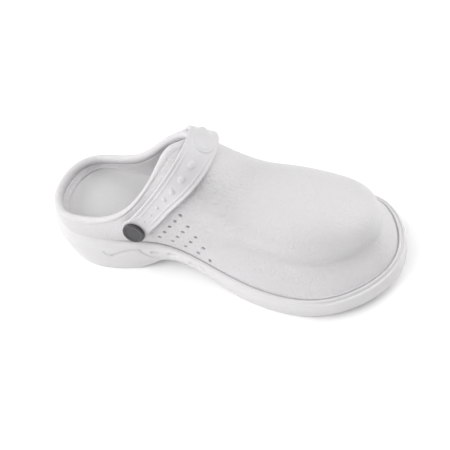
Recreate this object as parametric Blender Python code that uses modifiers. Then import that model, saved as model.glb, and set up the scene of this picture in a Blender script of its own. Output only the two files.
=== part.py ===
"""Chef clog: one left shoe of moulded foam, its heel strap folded forward over the instep.

Metres, +Z up, toe along +X, the outer side of the foot along +Y. Run it with
blender --background --python part.py, or from Blender's text editor.
"""

import math

import bmesh
import bpy
import numpy as np
from mathutils import Matrix, Vector
from mathutils.bvhtree import BVHTree

# The last: sizes over the sole's rim, and heights above the floor
LENGTH = 0.275
BALL_WIDTH = 0.102
SEAM_HEEL = 0.0405       # seam between upper and sole, at the back of the heel
SEAM_BALL = 0.0190       # the same seam, at the ball
INSTEP_HEIGHT = 0.1130   # the upper's top line, at the throat
ARCH_HEIGHT = 0.0160     # underside of the arch

# The upper
WALL = 0.0040
FLARE = 0.0100           # how far the upper's foot flares out over the sole
FLARE_HEIGHT = 0.0184
FLARE_FADE = 1.56        # power by which the flare fades with height
FOOT_EDGE = 0.0012       # bevel at the upper's foot, beside the groove
FOOT_ROW = 0.0020        # height of the wall's first row above its foot
LIP_THICK = 0.0068
LIP_DEPTH = 0.0085
LIP_PROUD = 0.0008       # the lip stands out from the wall by this much
LIP_START = 0.72         # the wall ends this share of LIP_DEPTH below the collar line

# The sole
RIM = 0.0049             # the sole's rim beyond the seam
HEEL_TUCK = 0.0030       # the heel block's foot lies inside the rim by this much
TREAD_DEPTH = 0.0025
TREAD_WIDTH = 0.0030
TREAD_PITCH = 0.0095
TREAD_EDGE = 0.0100      # uncut border of the tread
SLOT_LENGTH = 0.0085
SLOT_HEIGHT = 0.0022
SLOT_DEPTH = 0.0018

# The insole, in a bed sunk into the sole
BED_DEPTH = 0.0070
INSOLE_THICK = 0.0040
INSOLE_CUP = 0.0025      # its edge stands above its middle by this much

# The strap and its rivets
STRAP_END = 0.0096       # radius of its round ends
STRAP_WIDTH = 0.0168     # just past the rivets
STRAP_WIDTH_TOP = 0.0228 # at the disc
STRAP_BOW = 0.0011       # its middle line bows towards the toe by this much
STRAP_MIDDLE = 0.5350    # place of the disc, share of the strap's length from its medial end
STRAP_THICK = 0.0032
STRAP_STANDOFF = 0.0008   # free space between the strap and the lip's or the vamp's face
BORDER_WIDTH = 0.0026
BORDER_HEIGHT = 0.0010
DOME_RADIUS = 0.0026     # of the largest dome, beside the disc
DOME_HEIGHT = 0.0011
DISC_RADIUS = 0.0086
DISC_HEIGHT = 0.0013
RIVET_ALONG = 0.3360     # share of the seam's length
RIVET_HEIGHT = 0.0538
STRAP_TILT = 44.0        # degrees from the floor to the plane that the strap's middle line lies in
CAP_RADIUS = 0.0087
CAP_THICK = 0.0026
CAP_DISH = 0.0007
SHANK_RADIUS = 0.0030
BACK_RADIUS = 0.0065
BACK_THICK = 0.0018

# The vents: a triangle of holes on each side
VENT_RADIUS = 0.0013
VENT_ROWS = 5            # holes in the longest row, and rows
VENT_PITCH = 0.0087      # along a row, down and back from its first hole
VENT_SLANT = 46.0        # degrees below the floor's plane
VENT_ROW_PITCH = 0.0106  # from row to row, down and forward
VENT_ROW_SLANT = 73.0
VENT_ALONG = 0.4820      # the first hole, share of the seam's length
VENT_HEIGHT = 0.0686

GAP = 0.0003             # clearance between pieces that touch on the real shoe

# Seam outline. along: share of the seam's length; half widths: shares of the seam's ball width
OUTLINE = (
    # along, medial, lateral
    (0.057, 0.348, 0.335),
    (0.208, 0.402, 0.387),
    (0.359, 0.313, 0.435),
    (0.509, 0.386, 0.484),
    (0.660, 0.502, 0.499),
    (0.811, 0.514, 0.486),
    (0.924, 0.382, 0.395),
)
TOE_SIDEWAYS = -0.053    # share of the seam's ball width

# Seam height between SEAM_BALL (0) and SEAM_HEEL (1)
SEAM = (
    # along, rise
    (0.000, 1.00),
    (0.208, 0.70),
    (0.434, 0.35),
    (0.660, 0.13),
    (0.849, 0.00),
    (1.000, 0.26),
)

# Top line of the last. Behind the throat it only sets how the collar's walls lean
CREST = (
    # along, height (share of INSTEP_HEIGHT), sideways (share of the seam's ball width), fullness
    (0.000, 0.620, 0.000, 2.0),
    (0.130, 0.545, 0.000, 2.0),
    (0.208, 0.650, 0.000, 2.0),
    (0.330, 0.925, 0.004, 2.0),
    (0.400, 0.975, 0.000, 2.0),
    (0.487, 0.965, -0.030, 2.0),
    (0.547, 0.839, -0.045, 2.0),
    (0.623, 0.697, -0.040, 2.2),
    (0.698, 0.659, -0.012, 2.3),
    (0.792, 0.612, -0.012, 2.4),
    (0.887, 0.580, -0.004, 2.5),
    (1.000, 0.620, 0.000, 3.7),
)
HEEL_FAN = 0.125         # the sections fan out round this point at the heel
TOE_FAN = 0.830          # and round this one at the toe

# How far the wall's foot stands out from the wall above, as shares of FLARE
FLARES = (
    # along, medial, lateral
    (0.000, -0.11, -0.11),
    (0.208, 0.05, 0.05),
    (0.340, -0.55, 0.03),
    (0.509, 0.30, 0.20),
    (0.660, 0.99, 0.50),
    (0.811, 1.00, 0.30),
    (0.920, 0.61, 0.35),
    (1.000, 0.40, 0.40),
)

# Collar line on the outer face. half widths: shares of the seam's ball width
COLLAR = (
    # along, medial, lateral
    (0.057, 0.292, 0.309),
    (0.130, 0.334, 0.337),
    (0.210, 0.346, 0.337),
    (0.320, 0.323, 0.342),
    (0.396, 0.242, 0.309),
    (0.442, 0.144, 0.264),
    (0.472, 0.007, 0.218),
)
COLLAR_BACK = 0.004      # along
COLLAR_FRONT = 0.489     # along

# Which share of the collar's half lies across from which share of the seam's half
FAN = (
    # seam, collar
    (0.00, 0.00),
    (0.10, 0.17),
    (0.20, 0.38),
    (0.30, 0.60),
    (0.40, 0.76),
    (0.55, 0.88),
    (0.75, 0.95),
    (1.00, 1.00),
)

# Underside above the floor, as shares of ARCH_HEIGHT
UNDERSIDE = (
    # along, medial, lateral
    (0.000, 0.26, 0.26),
    (0.050, 0.00, 0.00),
    (0.262, 0.00, 0.00),
    (0.300, 0.45, 0.25),
    (0.360, 0.95, 0.60),
    (0.420, 1.00, 0.65),
    (0.500, 0.78, 0.42),
    (0.560, 0.36, 0.15),
    (0.620, 0.00, 0.00),
    (0.770, 0.00, 0.00),
    (0.849, 0.17, 0.17),
    (0.930, 0.36, 0.36),
    (1.000, 0.56, 0.56),
)

# Side of the sole from the groove to the tread
SOLE_SIDE = (
    # out (share of RIM), drop below the seam (share of RIM)
    (-0.05, 0.28),
    (0.20, 0.10),
    (0.45, 0.12),
    (0.78, 0.45),
    (1.00, 1.15),
)
SOLE_FOOT = (
    # share of the height from the rim down to the underside, inward (share of HEEL_TUCK)
    (0.30, 0.05),
    (0.60, 0.25),
    (0.85, 0.50),
    (0.96, 0.72),
    (1.00, 1.10),
)

TREADS = (
    # first and last groove, along
    (0.075, 0.245),
    (0.630, 0.890),
)

# Domes of the strap, as shares of the way from the rivet to the disc's edge
DOMES = (
    # way, size (share of DOME_RADIUS)
    (0.180, 0.30),
    (0.290, 0.36),
    (0.410, 0.46),
    (0.535, 0.60),
    (0.650, 0.82),
    (0.775, 0.92),
    (0.890, 1.00),
)

# How the strap widens from STRAP_WIDTH (0) to STRAP_WIDTH_TOP (1), on the way from rivet to disc
STRAP_SPREAD = (
    # way, spread
    (0.00, 0.00),
    (0.40, 0.04),
    (0.54, 0.27),
    (0.68, 0.62),
    (0.86, 0.93),
    (1.00, 1.00),
)

# Side slots at the arch. along: share of the seam's length; height: share of the sole's side
SLOTS = (
    # along, height
    (0.351, 0.56),
    (0.411, 0.62),
    (0.478, 0.66),
)

FOAM = ((0.86, 0.86, 0.87), 0.55)
FOAM_SOLE = ((0.88, 0.88, 0.88), 0.50)
FOAM_INSOLE = ((0.80, 0.80, 0.81), 0.65)
FOAM_STRAP = ((0.87, 0.87, 0.88), 0.48)
DARK_PLASTIC = ((0.045, 0.043, 0.047), 0.45)

HALF = 36                # stations on each side, heel to toe
WALL_ROWS = 13
FINE = 160               # samples behind each resampled line
ROUND = 24               # sides of a rivet
STRAP_STEPS = 26         # sections along the strap, between its rivets

SEAM_LENGTH = LENGTH - 2 * RIM
SEAM_WIDTH = BALL_WIDTH - 2 * RIM


def make_collection(name, hidden=False):
    collection = bpy.data.collections.new(name)
    bpy.context.scene.collection.children.link(collection)
    collection.hide_render = hidden
    return collection


def make_material(name, look):
    colour, roughness = look
    material = bpy.data.materials.new(name)
    material.use_nodes = True
    shader = material.node_tree.nodes["Principled BSDF"]
    shader.inputs["Base Color"].default_value = (*colour, 1.0)
    shader.inputs["Roughness"].default_value = roughness
    shader.inputs["Metallic"].default_value = 0.0
    return material


def add_mesh(name, points, faces, collection, look=None):
    """An object from points and faces, its normals facing out."""
    body = bmesh.new()
    vertices = [body.verts.new(point) for point in points]
    for face in faces:
        body.faces.new([vertices[i] for i in face])
    bmesh.ops.recalc_face_normals(body, faces=body.faces)
    mesh = bpy.data.meshes.new(name)
    body.to_mesh(mesh)
    body.free()
    thing = bpy.data.objects.new(name, mesh)
    collection.objects.link(thing)
    if look:
        mesh.materials.append(make_material(name, look))
    return thing


def join(things):
    """The objects' meshes as one object, in world places."""
    body = bmesh.new()
    for thing in things:
        part = thing.data.copy()
        part.transform(thing.matrix_world)
        body.from_mesh(part)
        bpy.data.meshes.remove(part)
    first = things[0]
    for thing in things[1:]:
        bpy.data.objects.remove(thing)
    body.to_mesh(first.data)
    body.free()
    first.matrix_world = Matrix.Identity(4)
    return first


def boolean(thing, other, operation):
    """Adds an exact Boolean; the other object is then only a helper."""
    modifier = thing.modifiers.new(other.name, "BOOLEAN")
    modifier.operation = operation
    modifier.solver = "EXACT"
    modifier.object = other
    other.hide_render = True
    other.display_type = "WIRE"


def cylinder(name, radius, length, centre, axis, collection, sides=ROUND):
    body = bmesh.new()
    bmesh.ops.create_cone(
        body, cap_ends=True, segments=sides, radius1=radius, radius2=radius, depth=length
    )
    turn = Vector((0, 0, 1)).rotation_difference(Vector(axis)).to_matrix().to_4x4()
    bmesh.ops.transform(body, matrix=Matrix.Translation(Vector(centre)) @ turn, verts=body.verts)
    mesh = bpy.data.meshes.new(name)
    body.to_mesh(mesh)
    body.free()
    thing = bpy.data.objects.new(name, mesh)
    collection.objects.link(thing)
    return thing


def natural(xs, ys, at):
    """Natural cubic spline through the points, one column of ys or several."""
    xs = np.asarray(xs, float)
    ys = np.asarray(ys, float)
    steps = np.diff(xs)
    slopes = np.diff(ys, axis=0) / steps.reshape(-1, *[1] * (ys.ndim - 1))
    count = len(xs)
    matrix = np.eye(count)
    right = np.zeros_like(ys)
    for i in range(1, count - 1):
        matrix[i, i - 1 : i + 2] = steps[i - 1], 2 * (steps[i - 1] + steps[i]), steps[i]
        right[i] = 6 * (slopes[i] - slopes[i - 1])
    bend = np.linalg.solve(matrix, right)
    at = np.clip(at, xs[0], xs[-1])
    k = np.clip(np.searchsorted(xs, at) - 1, 0, count - 2)
    shape = (*np.shape(at), *[1] * (ys.ndim - 1))
    h = steps[k].reshape(shape)
    b = ((at - xs[k]) / steps[k]).reshape(shape)
    a = 1 - b
    return a * ys[k] + b * ys[k + 1] + ((a**3 - a) * bend[k] + (b**3 - b) * bend[k + 1]) * h**2 / 6


def monotone(xs, ys, at):
    """Cubic through the points that keeps level stretches level and never overshoots."""
    xs = np.asarray(xs, float)
    ys = np.asarray(ys, float)
    steps = np.diff(xs)
    slopes = np.diff(ys) / steps
    inner = slopes[:-1] * slopes[1:]
    mean = np.where(inner > 0, 2 * inner / np.where(inner > 0, slopes[:-1] + slopes[1:], 1), 0)
    ends = np.concatenate([[slopes[0]], mean, [slopes[-1]]])
    at = np.clip(at, xs[0], xs[-1])
    k = np.clip(np.searchsorted(xs, at) - 1, 0, len(xs) - 2)
    h = steps[k]
    t = (at - xs[k]) / h
    value = (2 * t**3 - 3 * t**2 + 1) * ys[k] + (3 * t**2 - 2 * t**3) * ys[k + 1]
    return value + h * ((t**3 - 2 * t**2 + t) * ends[k] + (t**3 - t**2) * ends[k + 1])


def column(table, index):
    return np.array([row[index] for row in table])


def station(along):
    """World x of a share of the seam's length, with the rim's back at x = 0."""
    return RIM + np.asarray(along) * SEAM_LENGTH


def share(x):
    return (np.asarray(x) - RIM) / SEAM_LENGTH


def seam_height(x):
    rise = natural(column(SEAM, 0), column(SEAM, 1), share(x))
    return SEAM_BALL + (SEAM_HEEL - SEAM_BALL) * rise


def crest(x):
    """Height, sideways place and fullness of the last's top line."""
    found = natural(column(CREST, 0), np.array(CREST)[:, 1:], share(x))
    return found[..., 0] * INSTEP_HEIGHT, found[..., 1] * SEAM_WIDTH, found[..., 2]


def underside(x, lateral):
    """Height of the underside; lateral runs from 0 at the medial edge to 1 at the lateral one."""
    medial_side = monotone(column(UNDERSIDE, 0), column(UNDERSIDE, 1), share(x))
    lateral_side = monotone(column(UNDERSIDE, 0), column(UNDERSIDE, 2), share(x))
    return ARCH_HEIGHT * (medial_side + (lateral_side - medial_side) * lateral)


def closed_curve(points, count):
    """Points on the smooth closed curve through the given ones, starting at the first."""
    points = np.asarray(points, float)
    size = len(points)
    three = np.concatenate([points, points, points, points[:1]])
    gaps = np.sqrt(np.linalg.norm(np.diff(three, axis=0), axis=1))
    at = np.concatenate([[0], np.cumsum(gaps)])
    return natural(at, three, np.linspace(at[size], at[2 * size], count + 1)[:-1])


def resample(points, shares):
    """Points at the given shares of a line's length."""
    reach = np.concatenate([[0], np.cumsum(np.linalg.norm(np.diff(points, axis=0), axis=1))])
    at = np.asarray(shares) * reach[-1]
    return np.stack([np.interp(at, reach, points[:, i]) for i in range(points.shape[1])], axis=1)


def two_sided(table, width, back, front, shares):
    """A closed plan outline: medial side from heel to toe, then the lateral side back."""
    x = station(column(table, 0))
    medial = np.stack([x, -column(table, 1) * width], axis=1)
    lateral = np.stack([x, column(table, 2) * width], axis=1)[::-1]
    curve = closed_curve(np.concatenate([[back], medial, [front], lateral]), 2400)
    tip = int(np.argmax(curve[:, 0]))
    heel = int(np.argmin(curve[:, 0]))
    curve = np.roll(curve, -heel, axis=0)
    tip = (tip - heel) % len(curve)
    there = resample(curve[: tip + 1], shares)
    again = resample(np.concatenate([curve[tip:], curve[:1]])[::-1], shares)
    return np.concatenate([there, again[-2:0:-1]])


def outward(loop):
    """Unit plan normals of a closed loop, facing out."""
    ahead = np.roll(loop, -1, axis=0) - np.roll(loop, 1, axis=0)
    normal = np.stack([ahead[:, 1], -ahead[:, 0]], axis=1)
    return normal / np.linalg.norm(normal, axis=1, keepdims=True)


def seam_loop(half):
    return two_sided(
        OUTLINE,
        SEAM_WIDTH,
        (station(0.0), 0.0),
        (station(1.0), TOE_SIDEWAYS * SEAM_WIDTH),
        np.linspace(0, 1, half + 1),
    )


def collar_loop(half):
    middle = (COLLAR[-1][2] - COLLAR[-1][1]) / 2 * SEAM_WIDTH
    shares = monotone(column(FAN, 0), column(FAN, 1), np.linspace(0, 1, half + 1))
    return two_sided(
        COLLAR, SEAM_WIDTH, (station(COLLAR_BACK), 0.0), (station(COLLAR_FRONT), middle), shares
    )


def flare_of(loop):
    """How far the wall's foot stands out, at each point of the seam."""
    medial = natural(column(FLARES, 0), column(FLARES, 1), share(loop[:, 0]))
    lateral = natural(column(FLARES, 0), column(FLARES, 2), share(loop[:, 0]))
    across = np.clip(0.5 + loop[:, 1] / (0.5 * SEAM_WIDTH), 0, 1)
    return FLARE * (medial + (lateral - medial) * across)


class Last:
    """The closed form that the upper is moulded on: a height above every point in plan."""

    def __init__(self):
        loop = seam_loop(600)
        self.foot = loop - outward(loop) * flare_of(loop)[:, None]
        self.heel = station(HEEL_FAN)
        self.toe = station(TOE_FAN)
        self.sides = []
        for side in (self.foot[:601], np.concatenate([self.foot[600:], self.foot[:1]])[::-1]):
            order = np.argsort(side[:, 0])
            self.sides.append(side[order])
        self.heel_fan = self.fan_table(self.heel)
        self.toe_fan = self.fan_table(self.toe)

    def fan_table(self, x):
        offset = self.foot - [x, float(crest(x)[1])]
        angle = np.arctan2(offset[:, 1], offset[:, 0])
        order = np.argsort(angle)
        return angle[order], np.linalg.norm(offset[order], axis=1)

    def reach(self, x, y):
        """0 on the top line, 1 at the foot of the wall."""
        centre = np.clip(x, self.heel, self.toe)
        sideways = crest(centre)[1]
        dx, dy = x - centre, y - sideways
        far = np.hypot(dx, dy)
        medial = sideways - np.interp(centre, self.sides[0][:, 0], self.sides[0][:, 1])
        lateral = np.interp(centre, self.sides[1][:, 0], self.sides[1][:, 1]) - sideways
        limit = np.where(dy < 0, medial, lateral)
        angle = np.arctan2(dy, dx)
        limit = np.where(x < self.heel, np.interp(angle, *self.heel_fan, period=2 * math.pi), limit)
        limit = np.where(x > self.toe, np.interp(angle, *self.toe_fan, period=2 * math.pi), limit)
        return far / limit

    def height(self, x, y):
        top, _, fullness = crest(x)
        base = seam_height(x)
        rho = np.clip(self.reach(x, y), 0, 1)
        return base + (top - base) * (1 - rho**fullness) ** (1 / fullness)


def flare_fade(above):
    """The share of the flare that is left at this height above the seam."""
    return (1 - np.clip(above / FLARE_HEIGHT, 0, 1)) ** FLARE_FADE


def upper_rows(last, half, rows):
    """Outer face of the upper: for each station, points from the seam up to the collar."""
    seam = seam_loop(half)
    out = outward(seam)
    flare = flare_of(seam)[:, None]
    foot = seam - out * flare
    collar = collar_loop(half)
    fine = np.linspace(0, 1, FINE) ** 2.4
    lines = []
    for start, end in zip(foot, collar):
        plan = start + (end - start) * fine[:, None]
        z = last.height(plan[:, 0], plan[:, 1])
        z[0] = seam_height(plan[0, 0])
        line = np.column_stack([plan, z])
        length = np.linalg.norm(np.diff(line, axis=0), axis=1).sum()
        power = max(1.0, math.log(length / FOOT_ROW) / math.log(rows))
        stop = 1 - LIP_START * LIP_DEPTH / length
        shares = np.append(stop * np.linspace(0, 1, rows) ** power, 1.0)
        lines.append(resample(line, shares))
    lines = np.array(lines)
    above = lines[:, :, 2] - lines[:, :1, 2]
    fade = flare_fade(above)
    walls = lines.copy()
    walls[:, :, :2] += (out * flare)[:, None, :] * fade[:, :, None]
    return walls, lines, out


def normals_of(grid):
    """Unit normals of a grid that closes on itself in its first direction, facing out."""
    ahead = np.roll(grid, -1, axis=0) - np.roll(grid, 1, axis=0)
    up = np.gradient(grid, axis=1)
    normal = np.cross(ahead, up)
    return normal / np.linalg.norm(normal, axis=2, keepdims=True)


def band(first, second):
    """Quads between two closed rings of vertex numbers."""
    count = len(first)
    return [
        (first[i], first[(i + 1) % count], second[(i + 1) % count], second[i])
        for i in range(count)
    ]


def ladder(points, ring, half, columns, height):
    """Closes a ring with rungs from its medial to its lateral side; height gives each rung's z."""
    faces = []
    rungs = [[ring[0]]]
    for k in range(1, half):
        medial, lateral = points[ring[k]], points[ring[-k]]
        rung = [ring[k]]
        for c in range(1, columns):
            t = c / columns
            x = medial[0] + (lateral[0] - medial[0]) * t
            y = medial[1] + (lateral[1] - medial[1]) * t
            rung.append(len(points))
            points.append((x, y, float(height(x, y, t))))
        rungs.append([*rung, ring[-k]])
    rungs.append([ring[half]])
    for a, b in zip(rungs, rungs[1:]):
        if len(a) == 1:
            faces += [(a[0], b[i], b[i + 1]) for i in range(columns)]
        elif len(b) == 1:
            faces += [(a[i], b[0], a[i + 1]) for i in range(columns)]
        else:
            faces += [(a[i], b[i], b[i + 1], a[i + 1]) for i in range(columns)]
    return faces


def collar_bead(walls, normals):
    """The lip's round section at each station, from outside over its top to inside."""
    rise = walls[:, -1] - walls[:, -2]
    rise /= np.linalg.norm(rise, axis=1, keepdims=True)
    normal = normals[:, -1]
    centre = walls[:, -1] - normal * (LIP_THICK / 2 - LIP_PROUD) - rise * LIP_DEPTH * 0.35
    bead = []
    for degrees in range(-35, 216, 36):
        angle = math.radians(degrees)
        side = normal * math.cos(angle) * LIP_THICK / 2
        bead.append(centre + side + rise * math.sin(angle) * LIP_DEPTH / 2)
    return bead


def build_upper(last, parts):
    walls, plain, out = upper_rows(last, HALF, WALL_ROWS)
    normals = normals_of(walls)
    inner = walls - normals_of(plain) * WALL
    seam = walls[:, 0, :2]
    edge = walls[:, 0].copy()
    edge[:, 2] += FOOT_EDGE
    sole_line = np.column_stack([seam - out * FOOT_EDGE, seam_height(seam[:, 0])])
    inside = seam - out * WALL
    inside_line = np.column_stack([inside, seam_height(inside[:, 0])])
    rings = [sole_line, edge]
    rings += [walls[:, j] for j in range(1, WALL_ROWS)]
    rings += collar_bead(walls, normals)
    rings += [inner[:, j] for j in range(WALL_ROWS - 2, 0, -2)]
    rings.append(inside_line)
    count = 2 * HALF
    numbers = [list(range(j * count, (j + 1) * count)) for j in range(len(rings))]
    faces = []
    for j, ring in enumerate(numbers):
        faces += band(ring, numbers[(j + 1) % len(numbers)])
    return add_mesh("upper", np.concatenate(rings), faces, parts, FOAM)


def build_sole(parts):
    seam = seam_loop(HALF)
    out = outward(seam)
    base = seam_height(seam[:, 0])
    seat = seam - out * (FOOT_EDGE + GAP)
    bed = seam - out * (WALL + GAP)
    rings = [
        np.column_stack([bed, seam_height(bed[:, 0]) - BED_DEPTH]),
        np.column_stack([bed, seam_height(bed[:, 0]) - GAP]),
        np.column_stack([seat, seam_height(seat[:, 0]) - GAP]),
    ]
    for wide, drop in SOLE_SIDE:
        rings.append(np.column_stack([seam + out * RIM * wide, base - RIM * drop]))
    rim_height = rings[-1][:, 2]
    lateral = (seam[:, 1] > 0).astype(float)
    foot = underside(seam[:, 0], lateral)
    for down, inward in SOLE_FOOT:
        ring = seam + out * (RIM - HEEL_TUCK * inward)
        rings.append(np.column_stack([ring, rim_height + (foot - rim_height) * down]))
    points = [tuple(point) for point in np.concatenate(rings)]
    count = 2 * HALF
    numbers = [list(range(j * count, (j + 1) * count)) for j in range(len(rings))]
    faces = []
    for a, b in zip(numbers, numbers[1:]):
        faces += band(a, b)
    faces += ladder(points, numbers[0], HALF, 2, lambda x, y, t: seam_height(x) - BED_DEPTH)
    faces += ladder(points, numbers[-1], HALF, 4, lambda x, y, t: underside(x, t))
    return add_mesh("sole", points, faces, parts, FOAM_SOLE)


def build_insole(parts):
    seam = seam_loop(HALF)
    out = outward(seam)
    edge = seam - out * (WALL + 2 * GAP)
    inset = edge - out * INSOLE_THICK * 0.6
    low = GAP - BED_DEPTH
    rings = [
        np.column_stack([edge, seam_height(edge[:, 0]) + low]),
        np.column_stack([edge, seam_height(edge[:, 0]) + low + INSOLE_THICK + INSOLE_CUP * 0.6]),
        np.column_stack([inset, seam_height(inset[:, 0]) + low + INSOLE_THICK + INSOLE_CUP]),
    ]
    points = [tuple(point) for point in np.concatenate(rings)]
    count = 2 * HALF
    numbers = [list(range(j * count, (j + 1) * count)) for j in range(len(rings))]
    faces = band(numbers[0], numbers[1]) + band(numbers[1], numbers[2])

    def top(x, y, t):
        return seam_height(x) + low + INSOLE_THICK + INSOLE_CUP * abs(2 * t - 1) ** 3

    faces += ladder(points, numbers[0], HALF, 2, lambda x, y, t: seam_height(x) + low)
    faces += ladder(points, numbers[2], HALF, 4, top)
    return add_mesh("insole", points, faces, parts, FOAM_INSOLE)


class StrapPath:
    """The strap's middle line over the last, with a side and an outward direction along it."""

    def __init__(self, last):
        tilt = math.radians(STRAP_TILT)
        self.last = last
        self.along = np.array([math.cos(tilt), 0.0, math.sin(tilt)])
        self.side = np.array([math.sin(tilt), 0.0, -math.cos(tilt)])
        self.pivot = np.array([station(RIVET_ALONG), 0.0, RIVET_HEIGHT])
        angles = np.linspace(0.0, math.pi, 61)
        lean, clear = self.fit_to(angles)
        rays = np.outer(np.sin(angles), self.along) + np.outer(-np.cos(angles), [0.0, 1.0, 0.0])
        curve = self.pivot + rays * clear[:, None]
        curve += np.outer(STRAP_BOW * np.sin(angles), self.side)
        rise = (curve - self.pivot) @ self.along
        # The strap stays straight under its caps
        bent = np.flatnonzero(rise > CAP_RADIUS)
        ends = []
        for at, beside in ((bent[0], bent[1]), (bent[-1], bent[-2])):
            straight = curve[at] - curve[beside]
            straight /= np.linalg.norm(straight)
            ends.append(curve[at] + straight * (rise[at] / abs(straight @ self.along) + STRAP_END))
        self.line = np.concatenate([[ends[0]], curve[bent], [ends[1]]])
        self.lean = np.concatenate([[lean[bent[0]]], lean[bent], [lean[bent[-1]]]])
        self.length = np.linalg.norm(np.diff(self.line, axis=0), axis=1).sum()
        tip = STRAP_END * (1 - np.cos(np.radians([6, 30, 55, 80, 105])))
        inner = np.linspace(1.6 * STRAP_END, self.length - 1.6 * STRAP_END, STRAP_STEPS)
        self.far = np.concatenate([tip, inner, self.length - tip[::-1]])
        self.points, self.sides, self.normals = self.frames(self.far)

    def radius(self, angle, offset):
        """Distance from the rivets' line to the last's face, along a ray of the tilted plane."""
        far = np.linspace(STRAP_END, INSTEP_HEIGHT, 900)
        ray = self.along * math.sin(angle) + np.array([0.0, -math.cos(angle), 0.0])
        line = self.pivot + self.side * offset + ray * far[:, None]
        inside = line[:, 2] < self.last.height(line[:, 0], line[:, 1])
        inside &= self.last.reach(line[:, 0], line[:, 1]) < 1
        return far[np.flatnonzero(inside)[-1]]

    def fit_to(self, angles):
        """How the strap leans, and its distance from the rivets' line, at each angle round it."""
        knots = angles[::5]
        half = STRAP_WIDTH / 2 + (STRAP_WIDTH_TOP - STRAP_WIDTH) / 2 * np.sin(knots) ** 2
        bow = STRAP_BOW * np.sin(knots)
        offsets = np.array([half * part for part in (-1.0, -0.5, 0.0, 0.5, 1.0)])
        radii = [[self.radius(a, v) for a, v in zip(knots, row)] for row in offsets + bow]
        radii = np.array(radii)
        lean = (radii[-1] - radii[0]) / (2 * half)
        clear = (radii - lean * offsets).max(axis=0) + LIP_PROUD + STRAP_STANDOFF
        return natural(knots, lean, angles), natural(knots, clear, angles)

    def frames(self, far):
        """Middles, sides and outward directions at distances along the strap."""
        shares = np.asarray(far) / self.length
        points = resample(self.line, shares)
        ahead = resample(self.line, shares + 0.004) - resample(self.line, shares - 0.004)
        ahead /= np.linalg.norm(ahead, axis=1, keepdims=True)
        normals = np.cross(self.side, ahead)
        steps = np.linalg.norm(np.diff(self.line, axis=0), axis=1)
        lean = np.interp(far, np.concatenate([[0], np.cumsum(steps)]), self.lean)[:, None]
        sides = self.side + normals * lean
        normals = normals - self.side * lean
        sides /= np.linalg.norm(sides, axis=1, keepdims=True)
        normals /= np.linalg.norm(normals, axis=1, keepdims=True)
        return points, sides, normals

    def at(self, far):
        points, sides, normals = self.frames([far])
        return Vector(points[0]), Vector(sides[0]), Vector(normals[0])


def strap_half_width(path, far):
    """Round ends, a narrow neck past each rivet, and the widest place at the disc."""
    near = np.minimum(far, path.length - far)
    middle = STRAP_MIDDLE * path.length
    way = np.where(far < middle, far, path.length - far) - STRAP_END
    way = way / (np.where(far < middle, middle, path.length - middle) - STRAP_END)
    spread = monotone(column(STRAP_SPREAD, 0), column(STRAP_SPREAD, 1), way)
    neck = (STRAP_WIDTH + (STRAP_WIDTH_TOP - STRAP_WIDTH) * spread) / 2
    end = np.sqrt(np.clip(STRAP_END**2 - (near - STRAP_END) ** 2, 0, None))
    return np.where(near < STRAP_END, end, np.maximum(end, neck))


def build_strap(path, parts, cutters):
    half = strap_half_width(path, path.far)[:, None]
    near = np.minimum(path.far, path.length - path.far)[:, None]
    rise = BORDER_HEIGHT * np.clip((near - 2 * STRAP_END) / STRAP_END, 0, 1)
    border = np.minimum(BORDER_WIDTH, half * 0.3)
    bevel = np.minimum(STRAP_THICK * 0.25, half * 0.2)
    section = (
        (-half, 0.0),
        (-half, STRAP_THICK - bevel + rise),
        (-half + bevel, STRAP_THICK + rise),
        (-half + border, STRAP_THICK + rise),
        (-half + border * 1.4, STRAP_THICK),
        (half - border * 1.4, STRAP_THICK),
        (half - border, STRAP_THICK + rise),
        (half - bevel, STRAP_THICK + rise),
        (half, STRAP_THICK - bevel + rise),
        (half, 0.0),
    )
    rows = [path.points + path.sides * across + path.normals * out for across, out in section]
    count = len(path.points)
    size = len(section)
    points = np.stack(rows, axis=1).reshape(-1, 3)
    numbers = [list(range(i * size, (i + 1) * size)) for i in range(count)]
    faces = [tuple(numbers[0]), tuple(numbers[-1])]
    for a, b in zip(numbers, numbers[1:]):
        faces += band(a, b)
    strap = add_mesh("heel_strap", points, faces, parts, FOAM_STRAP)
    middle = STRAP_MIDDLE * path.length
    place, _, out = path.at(middle)
    tall = STRAP_THICK / 2 + BORDER_HEIGHT + DISC_HEIGHT
    centre = place + out * (STRAP_THICK + tall) / 2
    disc = cylinder("disc", DISC_RADIUS, tall, centre, out, cutters, ROUND)
    boolean(strap, disc, "UNION")
    domes = []
    for way, size in DOMES:
        medial = STRAP_END + (middle - DISC_RADIUS - STRAP_END) * way
        lateral = STRAP_END + (path.length - middle - DISC_RADIUS - STRAP_END) * way
        for distance in (medial, path.length - lateral):
            place, _, out = path.at(distance)
            domes.append(dome(place + out * STRAP_THICK, out, DOME_RADIUS * size, cutters))
    boolean(strap, join(domes), "UNION")
    return strap


def dome(centre, axis, radius, collection):
    """A low round stud, half sunk into the face that it stands on."""
    body = bmesh.new()
    bmesh.ops.create_uvsphere(body, u_segments=8, v_segments=4, radius=1.0)
    turn = Vector((0, 0, 1)).rotation_difference(axis).to_matrix().to_4x4()
    scale = Matrix.Diagonal((radius, radius, DOME_HEIGHT * (0.4 + 0.6 * radius / DOME_RADIUS), 1))
    bmesh.ops.transform(body, matrix=Matrix.Translation(centre) @ turn @ scale, verts=body.verts)
    mesh = bpy.data.meshes.new("dome")
    body.to_mesh(mesh)
    body.free()
    thing = bpy.data.objects.new("dome", mesh)
    collection.objects.link(thing)
    return thing


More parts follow.
